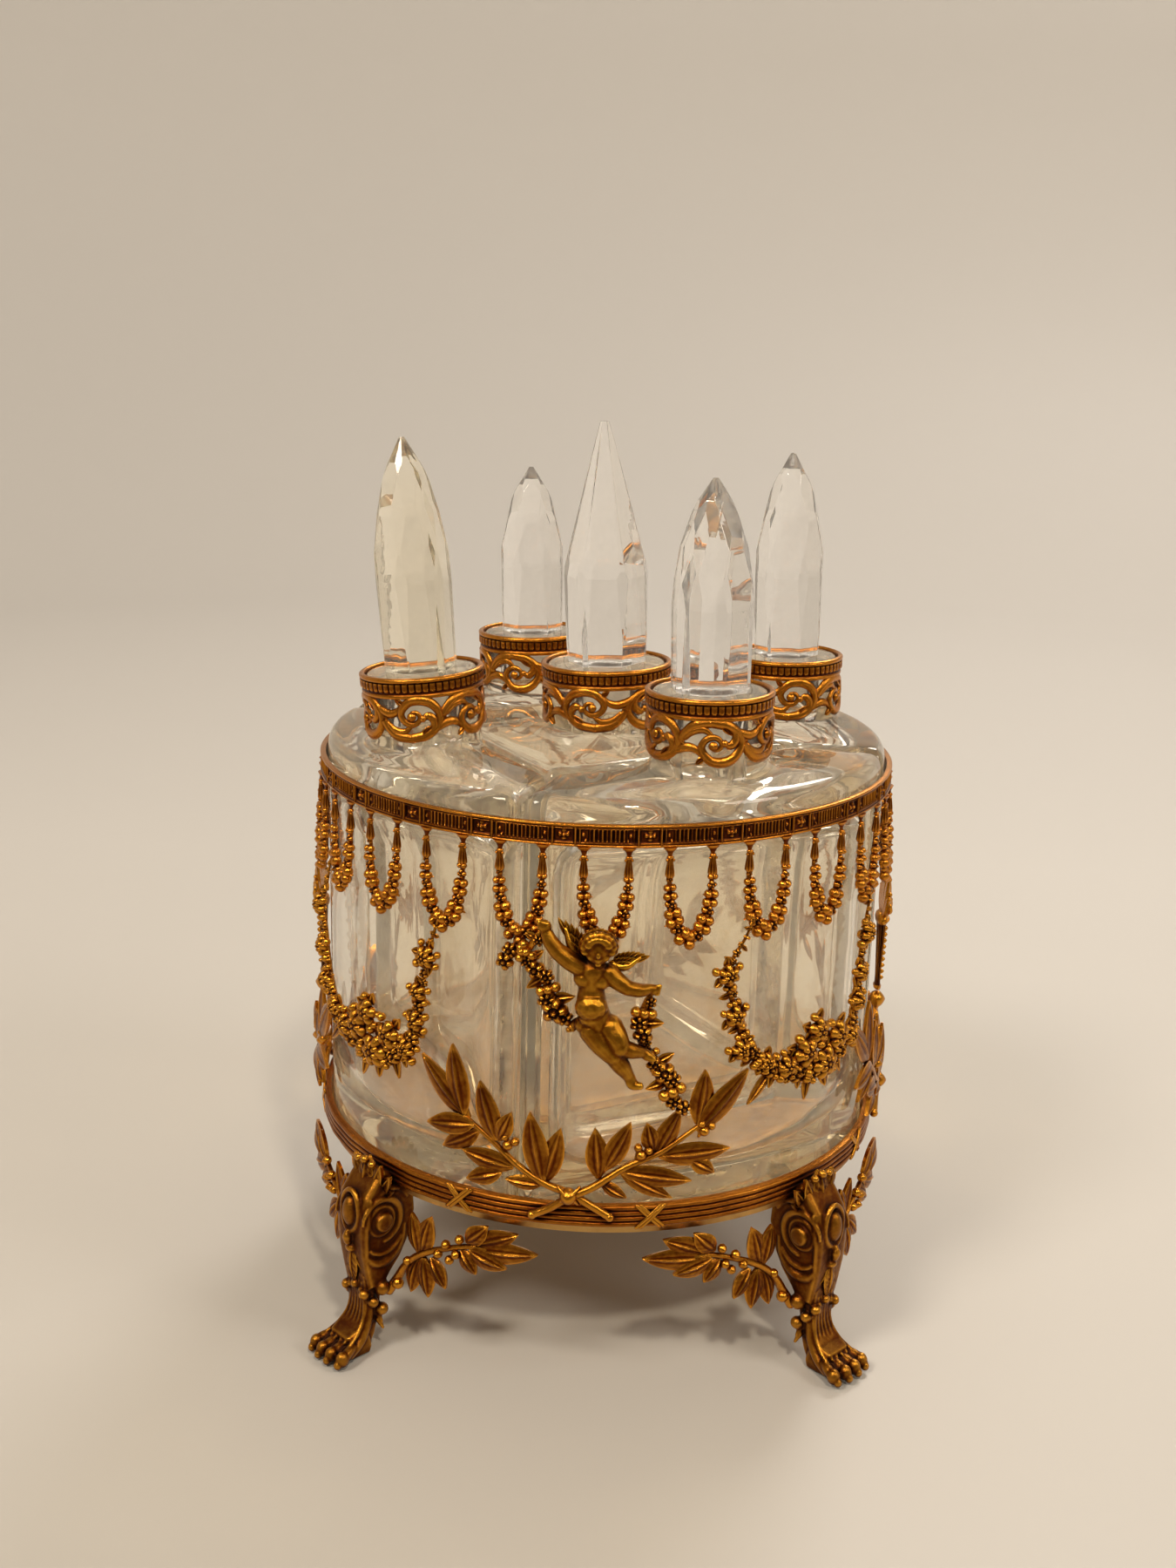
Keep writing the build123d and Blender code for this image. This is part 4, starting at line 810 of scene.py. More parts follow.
def torch():
    """Upright torch of the side panels: leaf tuft, beaded shaft, ball."""
    rnd = random.Random(14)
    s = Shape()
    turned(s, 0, 62.85, [(65.2, 0.7, 0), (65.6, 1.9, 0), (66.2, 2.1, 0), (66.6, 1.5, 0.3), (68.5, 1.45, 1), (74.0, 1.85, 1), (80.4, 2.4, 1), (81.2, 2.5, 0.3), (81.7, 3.3, 0), (82.5, 3.5, 0), (83.2, 3.1, 0), (83.8, 2.0, 0)],
           48, 12, 0.2, flat=0.42)
    for j in range(9):
        z = 68.0 + 1.47 * j
        r = 1.4 + 0.075 * j
        ball(s, 0, z, 62.9 + 0.42 * r, 0.55 + 0.02 * j, deep=0.6, pip=0.12, n=6, k=12)
    for j in range(11):
        x = -3.2 + 0.64 * j
        ball(s, x, 82.4, 62.9 + 1.3 * math.sqrt(max(0.0, 1 - (x / 3.6) ** 2)), 0.36, n=5, k=8)
    ball(s, 0, 62.8, 62.9, 2.0, 1.95, 1.7, 0.3, 10, 20)
    ball(s, 0, 60.9, 63.0, 0.55, 0.6, 0.55, n=6, k=10)
    # tuft: three rows of curling leaves with turned-over tips
    rows = [((0.0, 94.0), (-3.6, 92.4), (3.6, 92.4), (-5.5, 88.6), (5.5, 88.6)), ((-1.8, 92.0), (1.9, 91.6), (-4.4, 89.4), (4.4, 89.6)), ((0.2, 89.6), (-2.9, 87.8), (2.9, 87.6))]
    for i, row in enumerate(rows):
        for x1, z1 in row:
            leaf(s, x1 * 0.22, 83.0, x1, z1, 3.5 - 0.4 * i, 62.8 + 0.35 * i, 0.55, 0.5, 0.6, 14, 10, wide_at=1.05, vein=0.22, base=0.55, curl=0.3 * (rnd.random() - 0.5))
            ball(s, x1 * 1.01, z1 - 0.25, 63.5 + 0.3 * i, 0.62, 0.5, 0.5, n=6, k=10)
    for m in (-1, 1):
        tube(s, [(m * 2.4, 84.4, 63.6), (m * 3.9, 85.2, 64.0), (m * 4.6, 86.4, 63.9), (m * 4.1, 87.2, 63.6)], [0.75, 0.7, 0.5, 0.4], n=16, k=9)
    tube(s, [(0, 92.0, 63.0), (0.35, 94.0, 63.2), (-0.3, 96.0, 63.2), (0, 97.8, 63.0)], [0.8, 0.7, 0.6, 0.55], n=18, k=9)
    for z, m in ((94.4, 1), (95.3, -1), (96.4, 1), (97.0, -1)):
        ball(s, 0.55 * m, z, 63.5, 0.6, pip=0.15, n=6, k=10)
    me = mesh_from("torch_cast", bent(s.array()), s.faces, [gilt_torch], 55, 1.0, 1)
    for name in ("right", "left"):
        place("torch_cast_" + name, me, "stand", ["torch_" + name], PANELS[name])


torch()


# ----------------------------------------------------------------------- legs
def prism(s, profile, half, taper=1.0):
    """Side profile (R, z) extruded to both sides of x = 0."""
    p = np.array(profile, float)
    mid = p.mean(0)
    rings = []
    for x, f in ((-half, 0.94), (-half * 0.82, 1.0), (half * 0.82, 1.0), (half, 0.94)):
        q = mid + (p - mid) * f
        rings.append(np.stack([np.full(len(p), x), q[:, 1], q[:, 0]], 1))
    s.loops(rings)


def side_tube(s, side, path, radius, x=4.6, n=None, k=9):
    """A moulding on a side face, path in (R, z)."""
    c = curve_through(np.array([(r, z) for r, z in path]), n or max(8, 3 * len(path)))
    pts = np.stack([np.full(len(c), side * x), c[:, 1], c[:, 0]], 1)
    rad = np.interp(np.linspace(0, 1, len(pts)), np.linspace(0, 1, len(radius)), radius)
    t = np.gradient(pts, axis=0)
    t /= np.linalg.norm(t, axis=1)[:, None]
    out = np.array([side, 0, 0.0])
    sd = np.cross(t, out)
    a = np.linspace(0, 2 * math.pi, k, endpoint=False)
    pts = np.vstack([pts[0] - t[0] * rad[0] * 0.5, pts, pts[-1] + t[-1] * rad[-1] * 0.5])
    sd = np.vstack([sd[0], sd, sd[-1]])
    rad = np.r_[rad[0] * 0.4, rad, rad[-1] * 0.4]
    s.loops(pts[:, None] + rad[:, None, None] * (np.cos(a)[None, :, None] * sd[:, None] + 0.85 * np.sin(a)[None, :, None] * out))


def side_disc(s, side, r0, z0, radius, x_in, rows, k=28):
    """A stepped disc on a side face: rows of (share of radius, x)."""
    a = np.linspace(0, 2 * math.pi, k, endpoint=False)
    rings = [np.stack([np.full(k, side * x_in), z0 + radius * np.sin(a), r0 + radius * np.cos(a)], 1)]
    for share, x in rows:
        rings.append(np.stack([np.full(k, side * x), z0 + radius * share * np.sin(a), r0 + radius * share * np.cos(a)], 1))
    s.loops(rings)


CONSOLE = [(57.0, 35.9), (62.7, 35.9), (62.9, 40.4), (64.6, 41.2), (66.2, 39.8), (67.6, 38.2), (69.2, 36.0), (70.2, 32.4), (70.3, 28.0),
           (69.9, 23.0), (69.0, 18.0), (68.4, 15.0), (65.0, 15.0), (63.2, 17.4), (60.6, 20.2), (58.6, 23.6), (57.6, 27.0), (56.6, 30.0)]


def leg():
    s = Shape()
    prism(s, CONSOLE, 4.5)
    shaft = [(64.9, 17.5), (69.2, 18.5), (68.6, 12.0), (69.0, 8.6), (71.0, 6.4), (73.4, 5.2), (73.4, 1.0), (68.0, 0.9), (66.4, 3.8), (65.3, 8.0), (64.8, 12.0)]
    prism(s, shaft, 3.1)
    paw = [(67.8, 0.25), (75.6, 0.25), (76.0, 1.4), (75.2, 2.9), (73.2, 3.8), (71.0, 4.9), (69.4, 6.0), (67.9, 4.0), (67.3, 1.8)]
    prism(s, paw, 3.5)
    for side in (-1, 1):
        # stepped eye, C-scroll round it and the comma that ends the scroll
        side_disc(s, side, 65.6, 30.4, 3.5, 3.8, [(1.0, 4.75), (0.94, 5.0), (0.72, 4.85), (0.62, 5.1), (0.58, 5.75), (0.50, 6.15), (0.28, 6.32), (0.05, 6.36)])
        ring = [(65.6 + 4.75 * math.cos(t), 30.3 + 4.85 * math.sin(t)) for t in np.linspace(math.radians(5), math.radians(262), 15)]
        side_tube(s, side, ring, [0.35, 0.62, 0.78, 0.85, 0.85, 0.7, 0.45], 4.55)
        side_tube(s, side, [(59.6, 27.6), (60.4, 24.4), (62.6, 21.8), (65.6, 20.8), (68.0, 21.6), (69.3, 23.4)], [0.45, 0.85, 1.15, 1.25, 0.95, 0.3], 4.35)
        side_tube(s, side, [(60.6, 25.4), (62.6, 23.5), (65.4, 22.9), (67.6, 23.6), (68.7, 24.6)], [0.3, 0.5, 0.6, 0.5, 0.25], 4.7)
        side_tube(s, side, [(58.8, 33.8), (60.6, 36.2), (63.2, 36.9), (65.6, 36.2), (67.2, 34.8)], [0.4, 0.65, 0.75, 0.6, 0.35], 4.4)
        # knobs beside the shaft
        for xx, yy, zz, kr in ((4.3, 65.4, 14.9, 1.75), (3.9, 67.4, 12.0, 1.2), (4.2, 65.4, 9.9, 1.4), (3.0, 69.1, 14.0, 1.15)):
            ball(s, side * xx, zz, yy, kr, n=8, k=12)
        # muscle of the calf and tufts above the paw
        limb(s, [(side * 2.2, 16.5, 67.6), (side * 2.4, 12.0, 67.2), (side * 2.6, 7.6, 68.0), (side * 3.3, 3.8, 70.6), (side * 3.9, 2.2, 73.6)], [1.5, 1.2, 1.15, 1.2, 1.1])
        for j in range(3):
            limb(s, [(side * (3.2 + 0.25 * j), 10.6 - 1.6 * j, 66.0), (side * (4.2 + 0.2 * j), 8.6 - 1.5 * j, 65.7 - 0.1 * j)], [0.7, 0.35])
    # flutes that run down the shaft to the toes
    for j in range(6):
        x = -2.7 + 1.08 * j
        limb(s, [(x * 0.75, 16.4, 68.85), (x * 0.82, 12.2, 68.45), (x * 0.98, 8.6, 69.0), (x * 1.2, 5.9, 70.9), (x * 1.45, 4.2, 73.6)], [0.34, 0.4, 0.44, 0.46, 0.4], 10)
    # toes with knuckles and claws
    for j in range(4):
        x = -4.5 + 3.0 * j
        f = 0.55 * abs(j - 1.5)
        limb(s, [(x * 0.82, 3.4, 72.6), (x * 0.95, 3.1, 74.8 - f * 0.6), (x, 2.3, 76.5 - f)], [0.95, 1.1, 1.2], 12)
        ball(s, x, 2.35, 76.7 - f, 1.38, 1.75, 1.45, n=9, k=14)
        ball(s, x, 1.5, 77.9 - f, 0.95, 1.0, 0.85, n=8, k=12)
    # oval cabochon in a frame on the outer face
    oval = [(2.75 * math.cos(t), 32.6 + 4.45 * math.sin(t), 70.35 - 0.05 * (2.75 * math.cos(t)) ** 2 - (0.16 * max(0.0, 4.45 * math.sin(t) - 1.5) ** 1.25)) for t in np.linspace(0, 2 * math.pi, 25)]
    tube(s, oval, 0.62, n=50, k=10, smooth=False)
    ball(s, 0, 32.4, 69.8, 2.0, 3.5, 1.9, n=12, k=20)
    tube(s, [(0, 28.4, 70.6), (0, 26.9, 71.0), (0, 25.4, 70.8)], [0.6, 1.05, 0.7], n=9, k=12)
    # bud below it
    ball(s, 0, 24.2, 70.0, 1.35, 1.1, 1.2, n=8, k=14)
    for m in (-1, 1):
        limb(s, [(m * 4.35, 35.4, 68.2), (m * 4.4, 30.0, 69.3), (m * 4.2, 24.0, 69.2), (m * 3.2, 18.0, 68.6)], [0.55, 0.6, 0.55, 0.45], 10)
    ball(s, 0, 15.4, 69.2, 1.05, 1.0, 0.9, n=7, k=12)
    for m in (-1, 1):
        ball(s, 1.9 * m, 14.6, 68.9, 0.8, 0.8, 0.7, n=6, k=10)
    pts, faces = remeshed(s, 0.24, 3, 0.45)
    body = mesh_from("leg_cast", straight(pts), faces, [gilt_aged], 179, 1.1, 3)

    t = Shape()
    # acanthus lapped over the ring
    leaf(t, 0, 33.6, 0, 43.3, 5.4, 65.6, -0.4, 0.9, 1.0, 16, 12, wide_at=1.15, vein=0.35, base=0.6)
    for m in (-1, 1):
        leaf(t, m * 1.0, 34.2, m * 4.3, 42.6, 3.6, 65.1, 0.3, 0.8, 0.8, 12, 10, wide_at=1.05, vein=0.32, base=0.5)
        leaf(t, m * 1.8, 34.6, m * 6.4, 40.6, 3.0, 64.1, 0.5, 0.7, 0.7, 12, 8, wide_at=1.0, vein=0.3, base=0.5)
        leaf(t, m * 2.2, 34.8, m * 6.6, 37.2, 2.3, 63.6, 0.6, 0.6, 0.5, 10, 8, vein=0.25, base=0.5)
        ball(t, m * 2.2, 42.4, 66.2, 0.85, n=7, k=10)
    ball(t, 0, 42.8, 66.3, 0.95, n=7, k=12)
    # drop leaf on the outer face
    leaf(t, 0, 24.2, 0, 15.9, 3.3, 69.4, -0.5, 0.7, 0.8, 14, 10, vein=0.2, base=0.3)
    for m in (-1, 1):
        leaf(t, m * 0.3, 24.0, m * 2.5, 19.4, 1.7, 69.2, -0.3, 0.5, 0.5, 9, 6)
    trim = mesh_from("leg_leaf_cast", straight(t.array()), t.faces, [gilt_aged], 55, 1.0, 1)
    for name, a in LEGS.items():
        place("leg_cast_" + name, body, "stand", ["leg_" + name], a)
        place("leg_leaf_cast_" + name, trim, "stand", None, a)


leg()

# --------------------------------------------------------------- laurel sprays
SPRAY = [(-13.4, 25.4, -16.0, 34.6, 3.6), (-12.6, 25.2, -11.2, 34.0, 3.4), (-24.0, 31.4, -28.4, 36.0, 3.2),
         (-25.6, 31.0, -34.0, 35.4, 3.4), (-25.8, 30.2, -37.4, 31.6, 3.6), (-24.6, 29.8, -32.0, 27.4, 3.4),
         (-22.6, 29.0, -26.2, 24.8, 3.0), (-15.8, 25.2, -19.8, 19.8, 3.2), (-14.2, 24.8, -15.6, 16.4, 3.6),
         (-12.4, 23.8, -10.9, 15.8, 3.2)]
SPRAY_STEM = [(-4.6, 13.6), (-6.6, 17.2), (-8.6, 20.4), (-11.6, 23.8), (-15.0, 26.2), (-19.0, 28.2), (-23.4, 30.0), (-26.0, 30.6)]


def spray():
    rnd = random.Random(9)
    s = Shape()

    def flat_x(x):
        return math.asin(x / 64.0) * ARC

    for i, (x0, z0, x1, z1, w) in enumerate(SPRAY):
        leaf(s, flat_x(x0), z0, flat_x(x1), z1, w * 1.34, 63.05 + 0.25 * (i % 3), 0.3 + 0.7 * rnd.random(), 0.6, 0.9, 16, 14, wide_at=0.86, vein=0.12, base=0.16, curl=0.16 * (rnd.random() - 0.5))
    path = [(flat_x(x), z, 63.4 + (0.8 if i == 0 else 0)) for i, (x, z) in enumerate(SPRAY_STEM)]
    tube(s, path, [1.1, 1.0, 0.85, 0.8, 0.7, 0.6, 0.5], n=40, k=10)
    for x, z in ((-19.6, 29.6), (-21.8, 28.0), (-17.8, 27.0), (-20.4, 26.4), (-22.6, 31.6)):
        ball(s, flat_x(x), z, 63.9, 1.0, pip=0.25, n=8, k=12)
    for x, z, r in ((-10.0, 22.6, 1.0), (-7.2, 16.4, 1.3)):
        ball(s, flat_x(x), z, 63.9, r, n=8, k=12)
    right = s.array().copy()
    me_l = mesh_from("spray_left_cast", bent(s.array()), s.faces, [gilt_leaf], 50, 1.0, 2)
    right[:, 0] *= -1
    me_r = mesh_from("spray_right_cast", bent(right), s.faces, [gilt_leaf], 50, 1.0, 2)
    for name, a in LEGS.items():
        place("spray_cast_" + name + "_left", me_l, "stand", ["spray_" + name + "_left"], a)
        place("spray_cast_" + name + "_right", me_r, "stand", ["spray_" + name + "_right"], a)


spray()

for node, m in (("base_plate", plate_brass), ("leg_screws", screw_brass)):
    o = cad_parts[node]
    o.data.materials.clear()
    o.data.materials.append(m)

# -------------------------------------------------------------------- bottles
BOTTLES = {
    "centre": dict(collar=14.15, mid=None, neck=(0.0, 0.0), rim_z=139.3, lean=-1.9, stop_h=51.0, turn=24.0, w0=14.6, w1=15.6),
    "front": dict(collar=12.8, mid=-60.0, neck=(42.6, -61.3), rim_z=141.6, lean=-0.8, stop_h=40.8, turn=8.0, w0=14.5, w1=14.2),
    "right": dict(collar=12.8, mid=30.0, neck=(43.8, 23.7), rim_z=138.7, lean=-0.9, stop_h=44.7, turn=20.0, w0=12.2, w1=13.2),
    "back": dict(collar=12.8, mid=120.0, neck=(42.6, 115.4), rim_z=138.8, lean=-1.3, stop_h=38.4, turn=35.0, w0=12.2, w1=12.8),
    "left": dict(collar=12.8, mid=-150.0, neck=(42.6, -150.5), rim_z=140.8, lean=-4.8, stop_h=46.7, turn=-12.0, w0=12.9, w1=13.4),
}
COLLAR_H, LIP_DROP, NECK_UNDER = 13.2, 0.4, 1.45
GLASS_R, CENTRE_HALF, GAP = 60.3, 29.2, 0.5


def neck_frame(b):
    ang = math.radians(b["neck"][1])
    lean = math.radians(b["lean"])
    o = np.array([b["neck"][0] * math.cos(ang), b["neck"][0] * math.sin(ang), b["rim_z"] - COLLAR_H * math.cos(lean)])
    zd = np.array([math.sin(lean), 0, math.cos(lean)])
    xd = np.array([math.cos(lean), 0, -math.sin(lean)])
    yd = np.array([0, 1.0, 0])
    return o, xd, yd, zd


def plan_of(b, inset, corner):
    """Outline of a bottle seen from above, set in by inset, with corners of that radius: dense points."""
    back = inset + corner
    if b["mid"] is None:
        planes = [(math.radians(30 + 90 * i), CENTRE_HALF - back) for i in range(4)]
        poly = [np.array([90 * math.cos(t), 90 * math.sin(t)]) for t in np.linspace(0, 2 * math.pi, 8, endpoint=False)]
    else:
        mid = math.radians(b["mid"])
        planes = [(mid + math.pi, -(CENTRE_HALF + GAP) - back), (mid + math.radians(135), -GAP / 2 - back), (mid - math.radians(135), -GAP / 2 - back)]
        poly = [np.array([(GLASS_R - back) * math.cos(t), (GLASS_R - back) * math.sin(t)]) for t in np.linspace(0, 2 * math.pi, 900, endpoint=False)]
    for t, d in planes:
        n = np.array([math.cos(t), math.sin(t)])
        out = []
        for i in range(len(poly)):
            p, q = poly[i], poly[(i + 1) % len(poly)]
            dp, dq = n @ p - d, n @ q - d
            if dp <= 0:
                out.append(p)
            if dp * dq < 0:
                out.append(p + (q - p) * dp / (dp - dq))
        poly = out
    poly = np.array(poly)
    psi = np.linspace(0, 2 * math.pi, 1440, endpoint=False)
    n = np.stack([np.cos(psi), np.sin(psi)], 1)
    p = poly[np.argmax(n @ poly.T, 1)] + corner * n
    dense = []
    for i in range(len(p)):
        a, c = p[i], p[(i + 1) % len(p)]
        steps = max(1, int(np.linalg.norm(c - a) / 0.4))
        dense += [a + (c - a) * j / steps for j in range(steps)]
    return np.array(dense)


def radii_at(outline, centre, angles):
    d = outline - centre
    t = np.arctan2(d[:, 1], d[:, 0])
    r = np.hypot(d[:, 0], d[:, 1])
    order = np.argsort(t)
    t, r = t[order], r[order]
    return np.interp(angles, np.r_[t[-1] - 2 * math.pi, t, t[0] + 2 * math.pi], np.r_[r[-1], r, r[0]])


def spread_angles(outline, centre, n):
    """Directions from the neck that follow the outline evenly, closer together round its corners."""
    d = np.roll(outline, -1, 0) - outline
    seg = np.hypot(d[:, 0], d[:, 1])
    head = np.unwrap(np.arctan2(d[:, 1], d[:, 0]))
    turn = np.abs(np.diff(np.r_[head, head[0] + 2 * math.pi * round((head[-1] - head[0]) / (2 * math.pi))]))
    weight = seg + 9.0 * np.minimum(turn, 0.5)
    cum = np.r_[0, np.cumsum(weight)]
    where = np.linspace(0, cum[-1], n, endpoint=False)
    idx = np.interp(where, cum, np.arange(len(cum)))
    closed = np.vstack([outline, outline[:1]])
    lo = np.floor(idx).astype(int)
    f = (idx - lo)[:, None]
    p = closed[lo] * (1 - f) + closed[np.minimum(lo + 1, len(outline))] * f
    return np.sort(np.arctan2(p[:, 1] - centre[1], p[:, 0] - centre[0]))


def bottle(name, b):
    o, xd, yd, zd = neck_frame(b)
    rho = b["collar"] - NECK_UNDER
    centre = o[:2]
    angles = spread_angles(plan_of(b, 0.0, 2.6), centre, 340)
    ca, sa = np.cos(angles), np.sin(angles)

    def level(r, z):
        return np.stack([centre[0] + r * ca, centre[1] + r * sa, np.full(len(angles), z) if np.isscalar(z) else z], 1)

    def in_neck(r, h):
        r = np.broadcast_to(r, len(angles))
        return o + r[:, None] * (ca[:, None] * xd + sa[:, None] * yd) + h * zd

    rings = []
    for inset, z in ((1.6, 37.56), (0.9, 37.6), (0.3, 37.95), (0.0, 38.6), (0.0, 44.0), (0.0, 60.0), (0.0, 80.0), (0.0, 100.0), (0.0, 114.0), (0.0, 120.6), (0.04, 121.6),
                     (0.22, 122.5), (0.6, 123.3), (1.15, 123.85), (1.8, 124.2)):
        rings.append(level(radii_at(plan_of(b, inset, max(2.6 - 0.7 * inset, 0.8)), centre, angles), z))
    top = np.maximum(radii_at(plan_of(b, 2.5, 1.6), centre, angles), rho + 0.6)
    low, high = 124.4, o[2] - 0.35
    for f, g in ((1.0, 0.0), (0.80, 0.05), (0.6, 0.10), (0.42, 0.16), (0.28, 0.24), (0.18, 0.34), (0.11, 0.47), (0.06, 0.62), (0.025, 0.8), (0.0, 1.0)):
        p = level(rho + (top - rho) * f, low + (high - low) * g)
        q = in_neck(rho + (top - rho) * f, (low - o[2]) + (high - low) * g)
        rings.append(p * (1 - g) + q * g)
    for r, h in ((rho, 2.0), (rho, 6.0), (rho, 10.0), (rho, 11.9), (rho - 0.08, 12.45), (rho - 0.35, 12.72), (rho - 0.8, 12.8), (8.0, 12.8), (6.0, 12.8), (5.5, 12.72), (5.26, 12.5), (5.22, 12.0), (5.22, 8.0), (5.22, 4.0),
                 (5.24, 1.0), (5.3, -1.5)):
        rings.append(in_neck(r, h))
    cave = radii_at(plan_of(b, 4.4, 4.6), centre, angles)
    for f, z in ((0.01, 121.2), (0.04, 119.9), (0.10, 118.9), (0.22, 118.0), (0.40, 117.3), (0.60, 116.5), (0.78, 115.2), (0.90, 113.4), (0.97, 111.0), (1.0, 108.0),
                 (1.0, 95.0), (1.0, 75.0), (1.0, 58.0), (0.995, 53.5), (0.975, 50.9), (0.93, 49.1), (0.86, 47.9), (0.75, 47.3), (0.55, 47.2), (0.3, 47.5), (0.08, 47.8)):
        rings.append(level(5.3 + (cave - 5.3) * f, z) if f > 0.05 else 0.5 * (level(5.3 + (cave - 5.3) * f, z) + in_neck(5.3 + (cave - 5.3) * f, z - o[2])))
    s = Shape()
    s.loops(rings)
    me = mesh_from("bottle_glass_" + name, s.array() * MM, s.faces, [bottle_glass], 179, 0)
    place("bottle_glass_" + name, me, "bottle_" + name + "_body", ["bottle_" + name])


for name, b in BOTTLES.items():
    bottle(name, b)


# -------------------------------------------------------------------- collars
def wrap_neck(points, b, turn=0.0):
    """Flat (x along the collar, height, radius) round a neck, in metres."""
    o, xd, yd, zd = neck_frame(b)
    a = points[:, 0] / b["collar"] + math.radians(turn) - math.pi / 2
    r, h = points[:, 2], points[:, 1]
    return (o + r[:, None] * (np.cos(a)[:, None] * xd + np.sin(a)[:, None] * yd) + h[:, None] * zd) * MM


SCROLL_TURN = {"centre": -24.1, "front": -46.9, "right": 13.1, "back": -65.5, "left": 6.5}


def collar(name, b):
    big = b["collar"]
    s = Shape()
    teeth = 56 if name != "centre" else 62
    cols = teeth * 8
    x = np.linspace(0, 2 * math.pi * big, cols, endpoint=False)
    rows = [(8.95, -0.62), (9.05, -0.42), (9.3, -0.32), (9.6, -0.36), (9.85, -0.5)]
    rows += [(z, None) for z in np.linspace(9.95, 12.0, 9)]
    rows += [(12.12, -0.55), (12.22, -0.22), (12.4, -0.03), (12.65, 0.0), (12.9, -0.06), (13.1, -0.3), (13.2, -0.62), (13.14, -0.95), (12.95, -1.12), (12.6, -1.22), (9.1, -1.22)]
    phase = (x / (2 * math.pi * big) * teeth) % 1.0
    rings = []
    for z, dr in rows:
        if dr is None:
            edge = 10.15 + 0.55 * (1 - np.sqrt(np.clip(1 - (2 * phase - 1) ** 2, 0, 1)))
            inside = np.clip((z - edge) / 0.3, 0, 1)
            lobe = np.sqrt(np.clip(1 - (2 * phase - 1) ** 2, 0, 1))
            r = big - 0.58 + inside * (0.10 + 0.40 * lobe)
        else:
            r = np.full(cols, big + dr)
        rings.append(np.stack([x, np.full(cols, z), r], 1))
    loop = np.stack(rings, 1)
    s.loops(loop, closed=True)
    # running scroll: each half period is the last one turned upside down
    k = 2 * math.pi * big / 3 / 27.8
    flip = -1 if name == "centre" else 1
    base = big - 0.85
    parts = [
        ([(-3.2, 0.5), (0.2, 1.1), (2.6, 2.7), (3.8, 4.6), (5.1, 6.4), (7.3, 8.1), (10.7, 8.7)], [0.85, 0.95, 0.9, 0.8, 0.85, 0.95, 0.85], 0.0, 44),
        ([(2.8, 3.1), (3.5, 4.65), (3.1, 6.2), (1.8, 7.7), (-0.3, 8.55), (-2.8, 8.4), (-4.5, 7.2), (-5.2, 5.6), (-4.35, 4.05), (-2.8, 3.45), (-1.4, 4.0), (-0.95, 5.1), (-1.7, 5.95), (-2.9, 5.95)],
         [0.6, 0.75, 0.85, 0.9, 0.95, 0.92, 0.85, 0.8, 0.72, 0.66, 0.6, 0.52, 0.45, 0.36], 0.12, 70),
        ([(-0.2, 4.75), (0.9, 5.15), (2.0, 4.3), (2.1, 3.0), (1.4, 1.9), (0.2, 1.2)], [0.5, 0.8, 0.82, 0.72, 0.62, 0.5], 0.16, 24),
        ([(1.8, 1.9), (4.0, 3.05), (6.0, 3.5), (7.8, 2.9), (8.9, 1.5)], [0.55, 0.8, 0.85, 0.7, 0.3], -0.06, 24),
        ([(5.0, 5.3), (6.7, 6.8), (9.0, 7.3), (10.8, 6.2)], [0.5, 0.72, 0.72, 0.4], 0.06, 20)]
    for i in range(6):
        x0 = i * 13.9
        turned_over = i % 2

        def at(px, pz):
            pz = 9.2 - pz if turned_over else pz
            return flip * (x0 + px) * k, 0.45 + 0.96 * pz

        for path, radii, dr, n in parts:
            tube(s, [at(px, pz) + (base + dr,) for px, pz in path], [1.16 * r for r in radii], n=n, k=12, flat=0.52, ridge=0.24)
        ex, ez = at(-2.75, 5.15)
        ball(s, ex, ez, base + 0.42, 1.0, 0.95, 0.62, 0.16, 8, 14)
        ex, ez = at(-0.35, 4.7)
        ball(s, ex, ez, base + 0.25, 0.78, 0.78, 0.55, 0.1, 7, 12)
        for px, pz, qx, qz, w in ((-4.6, 7.6, -6.4, 9.0, 1.3), (3.2, 5.6, 5.0, 4.2, 1.2), (-1.4, 0.7, 1.4, 3.2, 1.3)):
            px, pz = at(px, pz)
            qx, qz = at(qx, qz)
            leaf(s, px, pz, qx, qz, w, base - 0.2, 0.3, 0.6, 0.4, 9, 6, vein=0.12, base=0.5)
    me = mesh_from("collar_cast_" + name, wrap_neck(s.array(), b, SCROLL_TURN[name]), s.faces, [gilt_red], 55, 0.9, 1)
    place("collar_cast_" + name, me, "bottle_" + name + "_body", ["collar_" + name])


for name, b in BOTTLES.items():
    collar(name, b)


# ------------------------------------------------------------------- stoppers
def block_corners(planes):
    """Corners of the cut block that the planes (outward normal, distance) bound."""
    n = np.array([p[0] for p in planes], float)
    d = np.array([p[1] for p in planes], float)
    trio = np.array(list(itertools.combinations(range(len(n)), 3)))
    m = n[trio]
    ok = np.abs(np.linalg.det(m)) > 1e-5
    pts = np.linalg.solve(m[ok], d[trio[ok]][..., None])[..., 0]
    pts = pts[np.all(pts @ n.T <= d + 1e-5, axis=1)]
    return np.unique(np.round(pts, 4), axis=0).tolist()


